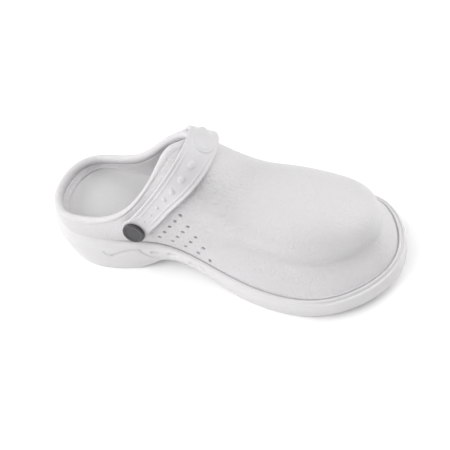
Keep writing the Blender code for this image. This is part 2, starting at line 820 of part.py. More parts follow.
def turned(name, profile, centre, axis, collection, look):
    """A body of revolution: (radius, height) points, turned round an axis by a Screw modifier."""
    mesh = bpy.data.meshes.new(name)
    edges = [(i, i + 1) for i in range(len(profile) - 1)]
    mesh.from_pydata([(radius, 0.0, height) for radius, height in profile], edges, [])
    thing = bpy.data.objects.new(name, mesh)
    collection.objects.link(thing)
    screw = thing.modifiers.new("turn", "SCREW")
    screw.axis = "Z"
    screw.steps = ROUND
    screw.render_steps = ROUND
    screw.use_merge_vertices = True
    screw.merge_threshold = 0.00001
    screw.use_normal_calculate = True
    turn = Vector((0, 0, 1)).rotation_difference(Vector(axis)).to_matrix().to_4x4()
    thing.matrix_world = Matrix.Translation(Vector(centre)) @ turn
    mesh.materials.append(make_material(name, look))
    return thing


def inner_face(tree, start, inward):
    """Distance from a point outside the upper, along a direction, to its wall's inner face."""
    outer = tree.ray_cast(start, inward)[0]
    return (tree.ray_cast(outer + inward * WALL / 2, inward)[0] - start).length


def build_rivets(path, upper, parts, cutters):
    """Cap with shank, and inner head, at each end of the strap. Returns the shanks' bores."""
    bores = []
    hole = SHANK_RADIUS + GAP
    mesh = upper.data
    tree = BVHTree.FromPolygons([v.co for v in mesh.vertices], [p.vertices for p in mesh.polygons])
    for side, far in (("medial", STRAP_END), ("lateral", path.length - STRAP_END)):
        seat, across, out = path.at(far)
        ring = [Matrix.Rotation(math.radians(turn), 3, out) @ across for turn in range(0, 360, 15)]
        spots = [seat + step * BACK_RADIUS * part for step in ring for part in (0.6, 0.8, 1.0)]
        deep = max(inner_face(tree, spot, -out) for spot in spots) + GAP
        foot = -(STRAP_THICK + GAP + deep + BACK_THICK)
        cap = (
            (0.0, foot),
            (SHANK_RADIUS, foot),
            (SHANK_RADIUS, 0.0),
            (CAP_RADIUS, 0.0),
            (CAP_RADIUS, CAP_THICK * 0.6),
            (CAP_RADIUS * 0.95, CAP_THICK * 0.9),
            (CAP_RADIUS * 0.85, CAP_THICK),
            (CAP_RADIUS * 0.60, CAP_THICK - CAP_DISH * 0.7),
            (0.0, CAP_THICK - CAP_DISH),
        )
        head = (
            (hole, 0.0),
            (BACK_RADIUS, 0.0),
            (BACK_RADIUS, -BACK_THICK * 0.5),
            (BACK_RADIUS * 0.85, -BACK_THICK),
            (hole, -BACK_THICK),
            (hole, 0.0),
        )
        outer = seat + out * (STRAP_THICK + GAP)
        turned(f"rivet_cap_{side}", cap, outer, out, parts, DARK_PLASTIC)
        turned(f"rivet_back_{side}", head, seat - out * deep, out, parts, DARK_PLASTIC)
        through = 2 * (deep + STRAP_THICK)
        bores.append(cylinder("bore", hole, through, seat, out, cutters, 16))
    return join(bores)


def side_point(last, x, z, lateral):
    """The point of the upper's wall at this length and height, on one side."""
    side = 1 if lateral else -1
    ys = crest(np.array(x))[1] + np.linspace(0.0, 0.6 * BALL_WIDTH, 1200) * side
    inside = (last.height(np.full_like(ys, x), ys) > z) & (last.reach(np.full_like(ys, x), ys) < 1)
    flare = flare_of(np.array([[x, side * BALL_WIDTH]]))[0] * flare_fade(z - seam_height(x))
    return np.array([x, ys[np.flatnonzero(inside)[-1]] + side * flare, z])


def build_vents(last, cutters):
    """A triangle of round holes through each side."""
    along_row = math.radians(VENT_SLANT)
    along_row = np.array([-math.cos(along_row), -math.sin(along_row)]) * VENT_PITCH
    next_row = math.radians(VENT_ROW_SLANT)
    next_row = np.array([math.cos(next_row), -math.sin(next_row)]) * VENT_ROW_PITCH
    first = np.array([station(VENT_ALONG), VENT_HEIGHT])
    step = VENT_RADIUS
    holes = []
    for lateral in (False, True):
        for row in range(VENT_ROWS):
            for place in range(VENT_ROWS - row):
                x, z = first + along_row * place + next_row * row
                centre = side_point(last, x, z, lateral)
                ahead = side_point(last, x + step, z, lateral) - centre
                above = side_point(last, x, z + step, lateral) - centre
                axis = np.cross(ahead, above)
                holes.append(cylinder("vent", VENT_RADIUS, 4 * WALL, centre, axis, cutters, 8))
    return join(holes)


def build_slots(cutters):
    """Flat ovals in the side of the sole, along the arch, on both sides."""
    seam = seam_loop(200)
    out = outward(seam)
    depth = RIM + SLOT_DEPTH
    slots = []
    for lateral in (False, True):
        side = slice(200, 400) if lateral else slice(0, 200)
        order = np.argsort(seam[side][:, 0])
        line, normal = seam[side][order], out[side][order]
        for along, height in SLOTS:
            x = station(along)
            y = np.interp(x, line[:, 0], line[:, 1])
            turn = [np.interp(x, line[:, 0], normal[:, i]) for i in range(2)]
            low = float(underside(x, float(lateral)))
            z = low + (float(seam_height(x)) - low) * height
            axis = Vector((*turn, 0.0)).normalized()
            rise = float(seam_height(x + SLOT_LENGTH) - seam_height(x - SLOT_LENGTH))
            rise /= 2 * SLOT_LENGTH
            level = Vector((-axis.y, axis.x, -axis.y * rise)).normalized()
            centre = Vector((x, y, z)) + axis * (RIM + depth / 2 - SLOT_DEPTH)
            frame = Matrix((level, axis.cross(level), axis)).transposed().to_4x4()
            size = Matrix.Diagonal((SLOT_LENGTH / 2, SLOT_HEIGHT / 2, 1, 1))
            slot = cylinder("slot", 1.0, depth, (0, 0, 0), (0, 0, 1), cutters, 12)
            slot.data.transform(Matrix.Translation(centre) @ frame @ size)
            slots.append(slot)
    return join(slots)


def build_treads(cutters):
    """Cross grooves under the heel and the forefoot, stopping short of the edge."""
    seam = seam_loop(200)
    grooves = []
    for start, end in TREADS:
        for x in np.arange(station(start), station(end), TREAD_PITCH):
            medial = seam[np.argmin(np.abs(seam[:200, 0] - x)), 1] + TREAD_EDGE - RIM
            lateral = seam[200 + np.argmin(np.abs(seam[200:, 0] - x)), 1] - TREAD_EDGE + RIM
            centre = Vector((x, (medial + lateral) / 2, float(underside(x, 0.5))))
            size = Matrix.Diagonal((TREAD_WIDTH, lateral - medial, 2 * TREAD_DEPTH, 1))
            body = bmesh.new()
            bmesh.ops.create_cube(body, size=1.0, matrix=Matrix.Translation(centre) @ size)
            mesh = bpy.data.meshes.new("tread")
            body.to_mesh(mesh)
            body.free()
            groove = bpy.data.objects.new("tread", mesh)
            cutters.objects.link(groove)
            grooves.append(groove)
    return join(grooves)


def centre_over_origin():
    """Moves everything so that the sole's box stands on the origin."""
    seam = seam_loop(HALF)
    rim = seam + outward(seam) * RIM
    middle = (rim.min(axis=0) + rim.max(axis=0)) / 2
    for thing in bpy.data.objects:
        thing.matrix_world = Matrix.Translation((-middle[0], -middle[1], 0.0)) @ thing.matrix_world


def main():
    for thing in list(bpy.data.objects):
        bpy.data.objects.remove(thing, do_unlink=True)
    parts = make_collection("chef_clog")
    cutters = make_collection("cutters", hidden=True)
    last = Last()
    path = StrapPath(last)
    upper = build_upper(last, parts)
    sole = build_sole(parts)
    build_insole(parts)
    strap = build_strap(path, parts, cutters)
    bores = build_rivets(path, upper, parts, cutters)
    boolean(upper, build_vents(last, cutters), "DIFFERENCE")
    boolean(upper, bores, "DIFFERENCE")
    boolean(strap, bores, "DIFFERENCE")
    boolean(sole, build_slots(cutters), "DIFFERENCE")
    boolean(sole, build_treads(cutters), "DIFFERENCE")
    centre_over_origin()


main()
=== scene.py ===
"""Looks of the chef clog: one left shoe of moulded foam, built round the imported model.

Metres, +Z up, toe along +X, the outer side of the foot along +Y. The fine pieces follow the same
driving sizes as the plain solids that they stand for, and add the relief that shows close by.
Two measures are set from the photo here alone: CAP_RADIUS, and UNDERSIDE at the arch.
"""

import math

import bmesh
import bpy
import numpy as np
from mathutils import Matrix, Vector


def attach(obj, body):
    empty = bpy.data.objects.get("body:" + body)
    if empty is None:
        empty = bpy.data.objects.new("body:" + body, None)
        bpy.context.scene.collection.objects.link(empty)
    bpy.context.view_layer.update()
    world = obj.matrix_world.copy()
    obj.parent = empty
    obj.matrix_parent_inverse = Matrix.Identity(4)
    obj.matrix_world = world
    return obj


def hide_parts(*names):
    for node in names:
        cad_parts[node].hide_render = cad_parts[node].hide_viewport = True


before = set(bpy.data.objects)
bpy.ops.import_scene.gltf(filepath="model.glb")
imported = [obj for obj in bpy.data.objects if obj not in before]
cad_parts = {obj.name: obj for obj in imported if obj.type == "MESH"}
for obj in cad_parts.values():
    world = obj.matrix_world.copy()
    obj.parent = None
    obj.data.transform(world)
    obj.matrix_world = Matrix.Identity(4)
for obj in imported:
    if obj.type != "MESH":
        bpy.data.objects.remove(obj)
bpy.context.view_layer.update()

# Driving sizes
LENGTH = 0.275
BALL_WIDTH = 0.102
SEAM_HEEL = 0.0405
SEAM_BALL = 0.0190
INSTEP_HEIGHT = 0.1130
ARCH_HEIGHT = 0.0160
WALL = 0.0040
FLARE = 0.0100
FLARE_HEIGHT = 0.0184
FLARE_FADE = 1.56
FOOT_EDGE = 0.0012
LIP_THICK = 0.0068
LIP_DEPTH = 0.0085
LIP_PROUD = 0.0008
LIP_START = 0.72
RIM = 0.0049
HEEL_TUCK = 0.0030
TREAD_DEPTH = 0.0025
TREAD_WIDTH = 0.0030
TREAD_PITCH = 0.0095
BED_DEPTH = 0.0070
INSOLE_THICK = 0.0040
INSOLE_CUP = 0.0025
STRAP_END = 0.0096
STRAP_WIDTH = 0.0168
STRAP_WIDTH_TOP = 0.0228
STRAP_BOW = 0.0011
STRAP_MIDDLE = 0.5350
STRAP_THICK = 0.0032
STRAP_STANDOFF = 0.0008
BORDER_WIDTH = 0.0026
BORDER_HEIGHT = 0.0010
DOME_RADIUS = 0.0026
DOME_HEIGHT = 0.0011
DISC_RADIUS = 0.0086
DISC_HEIGHT = 0.0013
RIVET_ALONG = 0.3360
RIVET_HEIGHT = 0.0538
STRAP_TILT = 44.0
CAP_RADIUS = 0.0082
CAP_THICK = 0.0026
CAP_DISH = 0.0007
SHANK_RADIUS = 0.0030
BACK_RADIUS = 0.0065
BACK_THICK = 0.0018
VENT_RADIUS = 0.0013
VENT_ROWS = 5
VENT_PITCH = 0.0087
VENT_SLANT = 46.0
VENT_ROW_PITCH = 0.0106
VENT_ROW_SLANT = 73.0
VENT_ALONG = 0.4820
VENT_HEIGHT = 0.0686
GAP = 0.0003

# Small roundings and reliefs of the fine pieces
WELD = 2e-6
LIP_TURN = (-42.0, 215.0)
LIP_SUNK = 0.35
LIP_CLEAR = 0.0006
HEEL_CUP = 0.0045
CUP_TOP = 0.50
CUP_POWER = 0.7
CUP_ENDS = (0.25, 0.50)
VENT_MOUTH = 0.0005
INSOLE_ROUND = 0.0005
TREAD_ROUND = 0.0007
CUP_CURL = 0.0012
CURL_POWER = 7
STRAP_CROWN = 0.0016
STRAP_ROUND = 0.0011
STRAP_UNDER = 0.0006
BORDER_FADE = 1.6
DISC_EDGE = 0.0009
DISC_RING = 0.0004
CAP_EDGE = 0.0009
CAP_STEPS = (0.80, 0.74, 0.68, 0.55, 0.40, 0.20, 0.0)
BACK_EDGE = 0.15

# Seam outline. along: share of the seam's length; half widths: shares of the seam's ball width
OUTLINE = (
    # along, medial, lateral
    (0.057, 0.348, 0.335),
    (0.208, 0.402, 0.387),
    (0.359, 0.313, 0.435),
    (0.509, 0.386, 0.484),
    (0.660, 0.502, 0.499),
    (0.811, 0.514, 0.486),
    (0.924, 0.382, 0.395),
)
TOE_SIDEWAYS = -0.053

# Seam height between SEAM_BALL (0) and SEAM_HEEL (1)
SEAM = (
    # along, rise
    (0.000, 1.00),
    (0.208, 0.70),
    (0.434, 0.35),
    (0.660, 0.13),
    (0.849, 0.00),
    (1.000, 0.26),
)

# Top line of the last
CREST = (
    # along, height (share of INSTEP_HEIGHT), sideways (share of the seam's ball width), fullness
    (0.000, 0.620, 0.000, 2.0),
    (0.130, 0.545, 0.000, 2.0),
    (0.208, 0.650, 0.000, 2.0),
    (0.330, 0.925, 0.004, 2.0),
    (0.400, 0.975, 0.000, 2.0),
    (0.487, 0.965, -0.030, 2.0),
    (0.547, 0.839, -0.045, 2.0),
    (0.623, 0.697, -0.040, 2.2),
    (0.698, 0.659, -0.012, 2.3),
    (0.792, 0.612, -0.012, 2.4),
    (0.887, 0.580, -0.004, 2.5),
    (1.000, 0.620, 0.000, 3.7),
)
HEEL_FAN = 0.125  # behind it the sections turn round the heel
TOE_FAN = 0.830

# How far the wall's foot stands out, as shares of FLARE
FLARES = (
    # along, medial, lateral
    (0.000, -0.11, -0.11),
    (0.208, 0.05, 0.05),
    (0.340, -0.55, 0.03),
    (0.509, 0.30, 0.20),
    (0.660, 0.99, 0.50),
    (0.811, 1.00, 0.30),
    (0.920, 0.61, 0.35),
    (1.000, 0.40, 0.40),
)

# The vamp's shoulder and the hollow under it
BAND_APART = 0.0230  # from the hollow up to the shoulder
BAND_WIDTHS = (0.0108, 0.0125)
BAND = (
    # along; hollow's height above the seam, its depth medial and lateral, and the shoulder's (mm)
    (0.000, 22.0, 0.0, 0.0, 0.0, 0.0),
    (0.520, 22.0, 0.0, 0.0, 0.0, 0.0),
    (0.590, 21.0, 1.1, 0.5, 1.3, 0.5),
    (0.690, 18.5, 2.6, 1.1, 2.8, 1.1),
    (0.800, 16.5, 3.0, 1.3, 3.2, 1.3),
    (0.900, 16.5, 5.4, 2.0, 3.6, 1.6),
    (0.965, 16.5, 7.4, 2.6, 3.4, 1.8),
    (1.000, 17.0, 5.6, 3.0, 1.8, 1.8),
)

# Collar line on the outer face. half widths: shares of the seam's ball width
COLLAR = (
    # along, medial, lateral
    (0.057, 0.292, 0.309),
    (0.130, 0.334, 0.337),
    (0.210, 0.346, 0.337),
    (0.320, 0.323, 0.342),
    (0.396, 0.242, 0.309),
    (0.442, 0.144, 0.264),
    (0.472, 0.007, 0.218),
)
COLLAR_BACK = 0.004
COLLAR_FRONT = 0.489

# Which share of the collar's half lies across from which share of the seam's half
FAN = (
    # seam, collar
    (0.00, 0.00),
    (0.10, 0.17),
    (0.20, 0.38),
    (0.30, 0.60),
    (0.40, 0.76),
    (0.55, 0.88),
    (0.75, 0.95),
    (1.00, 1.00),
)

# Underside above the floor, as shares of ARCH_HEIGHT
UNDERSIDE = (
    # along, medial, lateral
    (0.000, 0.26, 0.26),
    (0.050, 0.00, 0.00),
    (0.262, 0.00, 0.00),
    (0.300, 0.22, 0.20),
    (0.360, 0.68, 0.50),
    (0.420, 0.82, 0.60),
    (0.500, 0.66, 0.40),
    (0.560, 0.30, 0.15),
    (0.620, 0.00, 0.00),
    (0.770, 0.00, 0.00),
    (0.849, 0.17, 0.17),
    (0.930, 0.36, 0.36),
    (1.000, 0.56, 0.56),
)

# Top of the sole's side from the groove to the rim, with a thin crest beside the groove at the toe
SOLE_TOPS = (
    # heel out and drop, middle out and drop, toe out and drop (shares of RIM)
    (-0.29, -0.40, -0.16, 0.10, -0.16, 0.06),
    (-0.13, -0.16, -0.06, 0.18, -0.06, 0.13),
    (0.06, 0.04, 0.09, 0.07, 0.09, -0.02),
    (0.26, 0.18, 0.30, 0.08, 0.28, -0.02),
    (0.46, 0.30, 0.48, 0.14, 0.50, 0.44),
    (0.66, 0.46, 0.66, 0.30, 0.72, 0.38),
    (0.86, 0.74, 0.86, 0.62, 0.90, 0.60),
    (1.00, 1.15, 1.00, 1.15, 1.00, 1.15),
)
SOFT_SEAM = (0.17, 0.30)
TOE_CREST = (0.74, 0.88)
SOLE_FOOT = (
    # share of the height from the rim down to the underside, inward (share of HEEL_TUCK)
    (0.30, 0.05),
    (0.60, 0.25),
    (0.85, 0.50),
    (0.96, 0.72),
    (1.00, 1.10),
)
TREADS = ((0.075, 0.245), (0.630, 0.890))  # first and last groove of each tread, along

# Domes of the strap, as shares of the way from the rivet to the disc's edge
DOMES = (
    # way, size (share of DOME_RADIUS)
    (0.180, 0.30),
    (0.290, 0.36),
    (0.410, 0.46),
    (0.535, 0.60),
    (0.650, 0.82),
    (0.775, 0.92),
    (0.890, 1.00),
)
STRAP_SPREAD = (
    # way, spread
    (0.00, 0.00),
    (0.40, 0.04),
    (0.54, 0.27),
    (0.68, 0.62),
    (0.86, 0.93),
    (1.00, 1.00),
)

# Carved lines and scoops on both of the sole's sides, in mm in the shapes' own frame
SOLE_MARKS = (
    # points (length, height), half width, depth
    (((57.6, 25.8), (59.0, 21.5), (61.9, 20.7)), 0.8, 1.1),
    (((61.9, 20.7), (69.5, 23.5), (78.2, 25.6), (85.7, 25.3)), 0.9, 1.5),
    (((85.7, 25.3), (88.3, 20.9), (91.9, 16.2), (97.0, 15.4)), 0.8, 1.4),
    (((94.8, 22.6), (98.6, 22.2)), 1.2, 2.2),
    (((108.5, 22.6), (114.2, 22.9)), 1.1, 2.0),
    (((127.5, 21.0), (132.9, 20.4)), 1.1, 1.8),
    (((137.5, 22.7), (139.9, 20.1)), 0.7, 1.0),
)

# How fine the pieces are
CAD_HALF = 36  # stations on each side of the plain solids
HALF = 240  # stations on each side
SOLE_HALF = 420  # the same on the sole and the insole
WALL_ROWS = 112
BEAD_ROWS = 22
INNER_ROWS = 24
SIDE_ROWS = 46  # down the sole's side
FILL_ROWS = 22  # from an edge in to the middle line
STRAP_ROWS = 520  # along the strap
STRAP_COLUMNS = 76  # across its face
STRAP_TIP_ROWS = 26  # round each of its ends
AHEAD = 0.0008  # between the points that give the strap's direction
ROUND = 64  # sides of a turned piece
VENT_SIDES = 16
FORM_HALF = 600  # stations of the last's own foot line
PLAN_POINTS = 2400  # of an outline before it is cut into stations
SEARCH_STEPS = 1200  # for the wall's face at one height
RAY_STEPS = 900  # from the rivets' line out to the last's face
GAP_STEPS = 500  # from a rivet's seat in to it
MARK_STEPS = 90  # along a carved line
STRAP_ANGLES = 61  # round the rivets' line
WALL_STEPS = 260  # from the foot to the collar, closer together at the foot
WALL_SPACING = 2.4
FOOT_STEP = 0.0005  # between the wall's lowest rows
SIDE_SPACING = 1.15  # the sole's rows are closer together at the groove
TREAD_INSIDE = (0.81, 0.86)  # where the treads end towards the sole's edge

# Fine folds beside the strap: middle, reach and depth, and how fine they are
FOLDS = ((0.0150, -0.0190, 0.0780), 0.0420, 0.0011)
FOLD_STRETCH = (110.0, 380.0, 460.0)

# Materials
FOAMS = (
    # name, colour, roughness, size and depth of the grain, folds
    ("foam_upper", (0.580, 0.570, 0.578), 0.50, 0.0015, 0.00034, FOLDS),
    ("foam_sole", (0.630, 0.620, 0.625), 0.50, 0.0011, 0.00016, None),
    # The insole's foam is the same white, set a touch darker than the upper's as painted shade of
    # the shoe's inside
    ("foam_insole", (0.560, 0.555, 0.560), 0.62, 0.0014, 0.00012, None),
    ("foam_strap", (0.570, 0.560, 0.570), 0.46, 0.0009, 0.00010, None),
)
FOAM_SHINE = 0.40
MOTTLE = (0.965, 1.02)
PLASTIC_TONES = ((0.036, 0.034, 0.037), (0.072, 0.069, 0.074))
PLASTIC_ROUGHNESS = (0.38, 0.55)
FLOOR_TONE = (0.97, 0.97, 0.97)
FLOOR_REACH = 4.0

# Studio: the sky's brightness at the horizon and overhead, and soft boxes
SKY = (0.40, 0.31)
SKY_HEIGHTS = (0.0, 0.8)
LIGHT_AIM = (0.0, 0.0, 0.03)
LIGHTS = (
    # name, azimuth and elevation (degrees), distance, size, power
    ("back", 48.0, 36.0, 1.7, 1.3, 20.5),
    ("heel", 180.0, 32.0, 1.7, 1.3, 15.5),
    ("left", 228.0, 32.0, 1.7, 1.3, 13.5),
    ("near", 285.0, 66.0, 1.7, 1.3, 10.5),
)

# Camera: the photograph's angle to the shoe
CAMERA_TARGET = (0.0000, 0.00125, 0.0350)
CAMERA_DISTANCE = 0.6370
CAMERA_ANGLES = (48.31, 42.34, -26.04)  # elevation, azimuth and roll
CAMERA_LENS = 70.57
CAMERA_SHIFT = (0.0198, -0.0260)

SEAM_LENGTH = LENGTH - 2 * RIM
SEAM_WIDTH = BALL_WIDTH - 2 * RIM


def natural(xs, ys, at):
    """Natural cubic spline through the points, one column of ys or several."""
    xs = np.asarray(xs, float)
    ys = np.asarray(ys, float)
    steps = np.diff(xs)
    slopes = np.diff(ys, axis=0) / steps.reshape(-1, *[1] * (ys.ndim - 1))
    count = len(xs)
    matrix = np.eye(count)
    right = np.zeros_like(ys)
    for i in range(1, count - 1):
        matrix[i, i - 1 : i + 2] = steps[i - 1], 2 * (steps[i - 1] + steps[i]), steps[i]
        right[i] = 6 * (slopes[i] - slopes[i - 1])
    bend = np.linalg.solve(matrix, right)
    at = np.clip(at, xs[0], xs[-1])
    k = np.clip(np.searchsorted(xs, at) - 1, 0, count - 2)
    shape = (*np.shape(at), *[1] * (ys.ndim - 1))
    h = steps[k].reshape(shape)
    b = ((at - xs[k]) / steps[k]).reshape(shape)
    a = 1 - b
    return a * ys[k] + b * ys[k + 1] + ((a**3 - a) * bend[k] + (b**3 - b) * bend[k + 1]) * h**2 / 6


def monotone(xs, ys, at):
    """Cubic through the points that keeps level stretches level and never overshoots."""
    xs = np.asarray(xs, float)
    ys = np.asarray(ys, float)
    steps = np.diff(xs)
    slopes = np.diff(ys) / steps
    inner = slopes[:-1] * slopes[1:]
    mean = np.where(inner > 0, 2 * inner / np.where(inner > 0, slopes[:-1] + slopes[1:], 1), 0)
    ends = np.concatenate([[slopes[0]], mean, [slopes[-1]]])
    at = np.clip(at, xs[0], xs[-1])
    k = np.clip(np.searchsorted(xs, at) - 1, 0, len(xs) - 2)
    h = steps[k]
    t = (at - xs[k]) / h
    value = (2 * t**3 - 3 * t**2 + 1) * ys[k] + (3 * t**2 - 2 * t**3) * ys[k + 1]
    return value + h * ((t**3 - 2 * t**2 + t) * ends[k] + (t**3 - t**2) * ends[k + 1])


def smooth(t):
    """0 to 1 with level ends."""
    t = np.clip(t, 0, 1)
    return t * t * (3 - 2 * t)


def ramp(at, ends):
    """0 before the first end, 1 past the second, smooth between them."""
    return smooth((at - ends[0]) / (ends[1] - ends[0]))


def bell(offset, width):
    """1 at the middle, fading to 0 within about twice the width."""
    return np.exp(-((offset / width) ** 2))


def unit(vectors):
    return vectors / np.linalg.norm(vectors, axis=-1, keepdims=True)


def running_length(points):
    """How far along the line each of its points is."""
    return np.concatenate([[0], np.cumsum(np.linalg.norm(np.diff(points, axis=0), axis=1))])


def column(table, index):
    return np.array([row[index] for row in table])


def station(along):
    return RIM + np.asarray(along) * SEAM_LENGTH


def share(x):
    return (np.asarray(x) - RIM) / SEAM_LENGTH


def seam_height(x):
    rise = natural(column(SEAM, 0), column(SEAM, 1), share(x))
    return SEAM_BALL + (SEAM_HEEL - SEAM_BALL) * rise


def crest(x):
    """Height, sideways place and fullness of the last's top line."""
    found = natural(column(CREST, 0), np.array(CREST)[:, 1:], share(x))
    return found[..., 0] * INSTEP_HEIGHT, found[..., 1] * SEAM_WIDTH, found[..., 2]


def underside(x, lateral):
    """Height of the underside; lateral runs from 0 at the medial edge to 1 at the lateral one."""
    at = column(UNDERSIDE, 0)
    medial, far = (monotone(at, column(UNDERSIDE, side), share(x)) for side in (1, 2))
    return ARCH_HEIGHT * (medial + (far - medial) * lateral)


def closed_curve(points, count):
    """Points on the smooth closed curve through the given ones, starting at the first."""
    size = len(points)
    three = np.concatenate([points, points, points, points[:1]])
    gaps = np.sqrt(np.linalg.norm(np.diff(three, axis=0), axis=1))
    at = np.concatenate([[0], np.cumsum(gaps)])
    return natural(at, three, np.linspace(at[size], at[2 * size], count + 1)[:-1])


def resample(points, shares):
    """Points at the given shares of a line's length."""
    reach = running_length(points)
    at = np.asarray(shares) * reach[-1]
    return np.stack([np.interp(at, reach, points[:, i]) for i in range(points.shape[1])], axis=1)


def two_sided(table, width, back, front, shares):
    """A closed plan outline: medial side from heel to toe, then the lateral side back."""
    x = station(column(table, 0))
    medial, lateral = (np.stack([x, column(table, side) * width], axis=1) for side in (1, 2))
    medial[:, 1] *= -1
    curve = closed_curve(np.concatenate([[back], medial, [front], lateral[::-1]]), PLAN_POINTS)
    curve = np.roll(curve, -int(np.argmin(curve[:, 0])), axis=0)
    tip = int(np.argmax(curve[:, 0]))
    there = resample(curve[: tip + 1], shares)
    again = resample(np.concatenate([curve[tip:], curve[:1]])[::-1], shares)
    return np.concatenate([there, again[-2:0:-1]])


def outward(loop):
    """Unit plan normals of a closed loop, facing out."""
    ahead = np.roll(loop, -1, axis=0) - np.roll(loop, 1, axis=0)
    return unit(np.stack([ahead[:, 1], -ahead[:, 0]], axis=1))


def seam_loop(half):
    back = (station(0.0), 0.0)
    front = (station(1.0), TOE_SIDEWAYS * SEAM_WIDTH)
    return two_sided(OUTLINE, SEAM_WIDTH, back, front, np.linspace(0, 1, half + 1))


def collar_loop(half):
    middle = (COLLAR[-1][2] - COLLAR[-1][1]) / 2 * SEAM_WIDTH
    shares = monotone(column(FAN, 0), column(FAN, 1), np.linspace(0, 1, half + 1))
    back = (station(COLLAR_BACK), 0.0)
    return two_sided(COLLAR, SEAM_WIDTH, back, (station(COLLAR_FRONT), middle), shares)


def flare_of(loop):
    """How far the wall's foot stands out, at each point of the seam."""
    at = column(FLARES, 0)
    medial, lateral = (natural(at, column(FLARES, side), share(loop[:, 0])) for side in (1, 2))
    across = np.clip(0.5 + loop[:, 1] / (0.5 * SEAM_WIDTH), 0, 1)
    return FLARE * (medial + (lateral - medial) * across)


def frame_shift():
    """From the shapes' own frame, with the rim's back at x = 0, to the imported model's."""
    seam = seam_loop(CAD_HALF)
    rim = seam + outward(seam) * RIM
    middle = (rim.min(axis=0) + rim.max(axis=0)) / 2
    return np.array([-middle[0], -middle[1], 0.0])


SHIFT = frame_shift()


class Last:
    """The closed form that the upper is moulded on: a height above every point in plan."""

    def __init__(self):
        loop = seam_loop(FORM_HALF)
        self.foot = loop - outward(loop) * flare_of(loop)[:, None]
        self.heel = station(HEEL_FAN)
        self.toe = station(TOE_FAN)
        self.sides = []
        again = np.concatenate([self.foot[FORM_HALF:], self.foot[:1]])[::-1]
        for side in (self.foot[: FORM_HALF + 1], again):
            self.sides.append(side[np.argsort(side[:, 0])])
        self.heel_fan = self.fan_table(self.heel)
        self.toe_fan = self.fan_table(self.toe)

    def fan_table(self, x):
        offset = self.foot - [x, float(crest(x)[1])]
        angle = np.arctan2(offset[:, 1], offset[:, 0])
        order = np.argsort(angle)
        return angle[order], np.linalg.norm(offset[order], axis=1)

    def reach(self, x, y):
        """0 on the top line, 1 at the foot of the wall."""
        centre = np.clip(x, self.heel, self.toe)
        sideways = crest(centre)[1]
        dx, dy = x - centre, y - sideways
        medial = sideways - np.interp(centre, self.sides[0][:, 0], self.sides[0][:, 1])
        lateral = np.interp(centre, self.sides[1][:, 0], self.sides[1][:, 1]) - sideways
        limit = np.where(dy < 0, medial, lateral)
        angle = np.arctan2(dy, dx)
        limit = np.where(x < self.heel, np.interp(angle, *self.heel_fan, period=2 * math.pi), limit)
        limit = np.where(x > self.toe, np.interp(angle, *self.toe_fan, period=2 * math.pi), limit)
        return np.hypot(dx, dy) / limit

    def height(self, x, y):
        top, fullness = crest(x)[::2]
        base = seam_height(x)
        rho = np.clip(self.reach(x, y), 0, 1)
        return base + (top - base) * (1 - rho**fullness) ** (1 / fullness)

    def holds(self, points):
        """Which points are inside the form."""
        x, y, z = np.moveaxis(points, -1, 0)
        return (z < self.height(x, y)) & (self.reach(x, y) < 1)


def flare_fade(above):
    """The share of the flare that is left at this height above the seam."""
    return (1 - np.clip(above / FLARE_HEIGHT, 0, 1)) ** FLARE_FADE


def wall_line(last, start, end):
    """Points on the last's face from the wall's foot up to the collar, at one station."""
    plan = start + (end - start) * (np.linspace(0, 1, WALL_STEPS) ** WALL_SPACING)[:, None]
    z = last.height(plan[:, 0], plan[:, 1])
    z[0] = seam_height(plan[0, 0])
    line = np.column_stack([plan, z])
    length = np.linalg.norm(np.diff(line, axis=0), axis=1).sum()
    power = max(1.0, math.log(length / FOOT_STEP) / math.log(WALL_ROWS))
    begin = FOOT_EDGE / length
    stop = 1 - LIP_START * LIP_DEPTH / length
    shares = begin + (stop - begin) * np.linspace(0, 1, WALL_ROWS) ** power
    return resample(line, np.append(shares, 1.0))


def band_relief(seam, above):
    """How far the vamp's shoulder stands out and the hollow under it goes in, at these heights."""
    across = smooth(0.5 + seam[:, 1] / (0.5 * SEAM_WIDTH))[:, None]
    rows = [monotone(column(BAND, 0), column(BAND, i), share(seam[:, 0])) for i in range(1, 6)]
    height, *depths = [row[:, None] / 1000 for row in rows]
    middles = (height, height + BAND_APART)
    hollow, shoulder = (
        (medial + (lateral - medial) * across) * bell(above - middle, width)
        for medial, lateral, middle, width in zip(depths[::2], depths[1::2], middles, BAND_WIDTHS)
    )
    return shoulder - hollow


def upper_rows(last):
    """The upper's outer face from above its foot up to the collar, with the last's plain face, the
    seam's outward directions and the seam."""
    seam = seam_loop(HALF)
    out = outward(seam)
    flare = out * flare_of(seam)[:, None]
    lines = np.array([wall_line(last, *ends) for ends in zip(seam - flare, collar_loop(HALF))])
    above = lines[:, :, 2] - seam_height(seam[:, 0])[:, None]
    walls = lines.copy()
    walls[:, :, :2] += flare[:, None, :] * flare_fade(above)[:, :, None]
    walls += normals_of(lines) * band_relief(seam, above)[..., None]
    return walls, lines, out, seam


def normals_of(grid):
    """Unit normals of a grid that closes on itself in its first direction, facing out."""
    ahead = np.roll(grid, -1, axis=0) - np.roll(grid, 1, axis=0)
    return unit(np.cross(ahead, np.gradient(grid, axis=1)))


def grid_faces(rows, columns, close_rows=True, close_columns=False):
    """Quads of a grid numbered row by row."""
    down = np.arange(rows - (not close_rows))
    over = np.arange(columns - (not close_columns))
    a, b = np.meshgrid(down, over, indexing="ij")
    a2, b2 = (a + 1) % rows, (b + 1) % columns
    quads = [a * columns + b, a2 * columns + b, a2 * columns + b2, a * columns + b2]
    return np.stack(quads, axis=-1).reshape(-1, 4)


def add_object(name, data):
    thing = bpy.data.objects.new(name, data)
    bpy.context.scene.collection.objects.link(thing)
    return thing


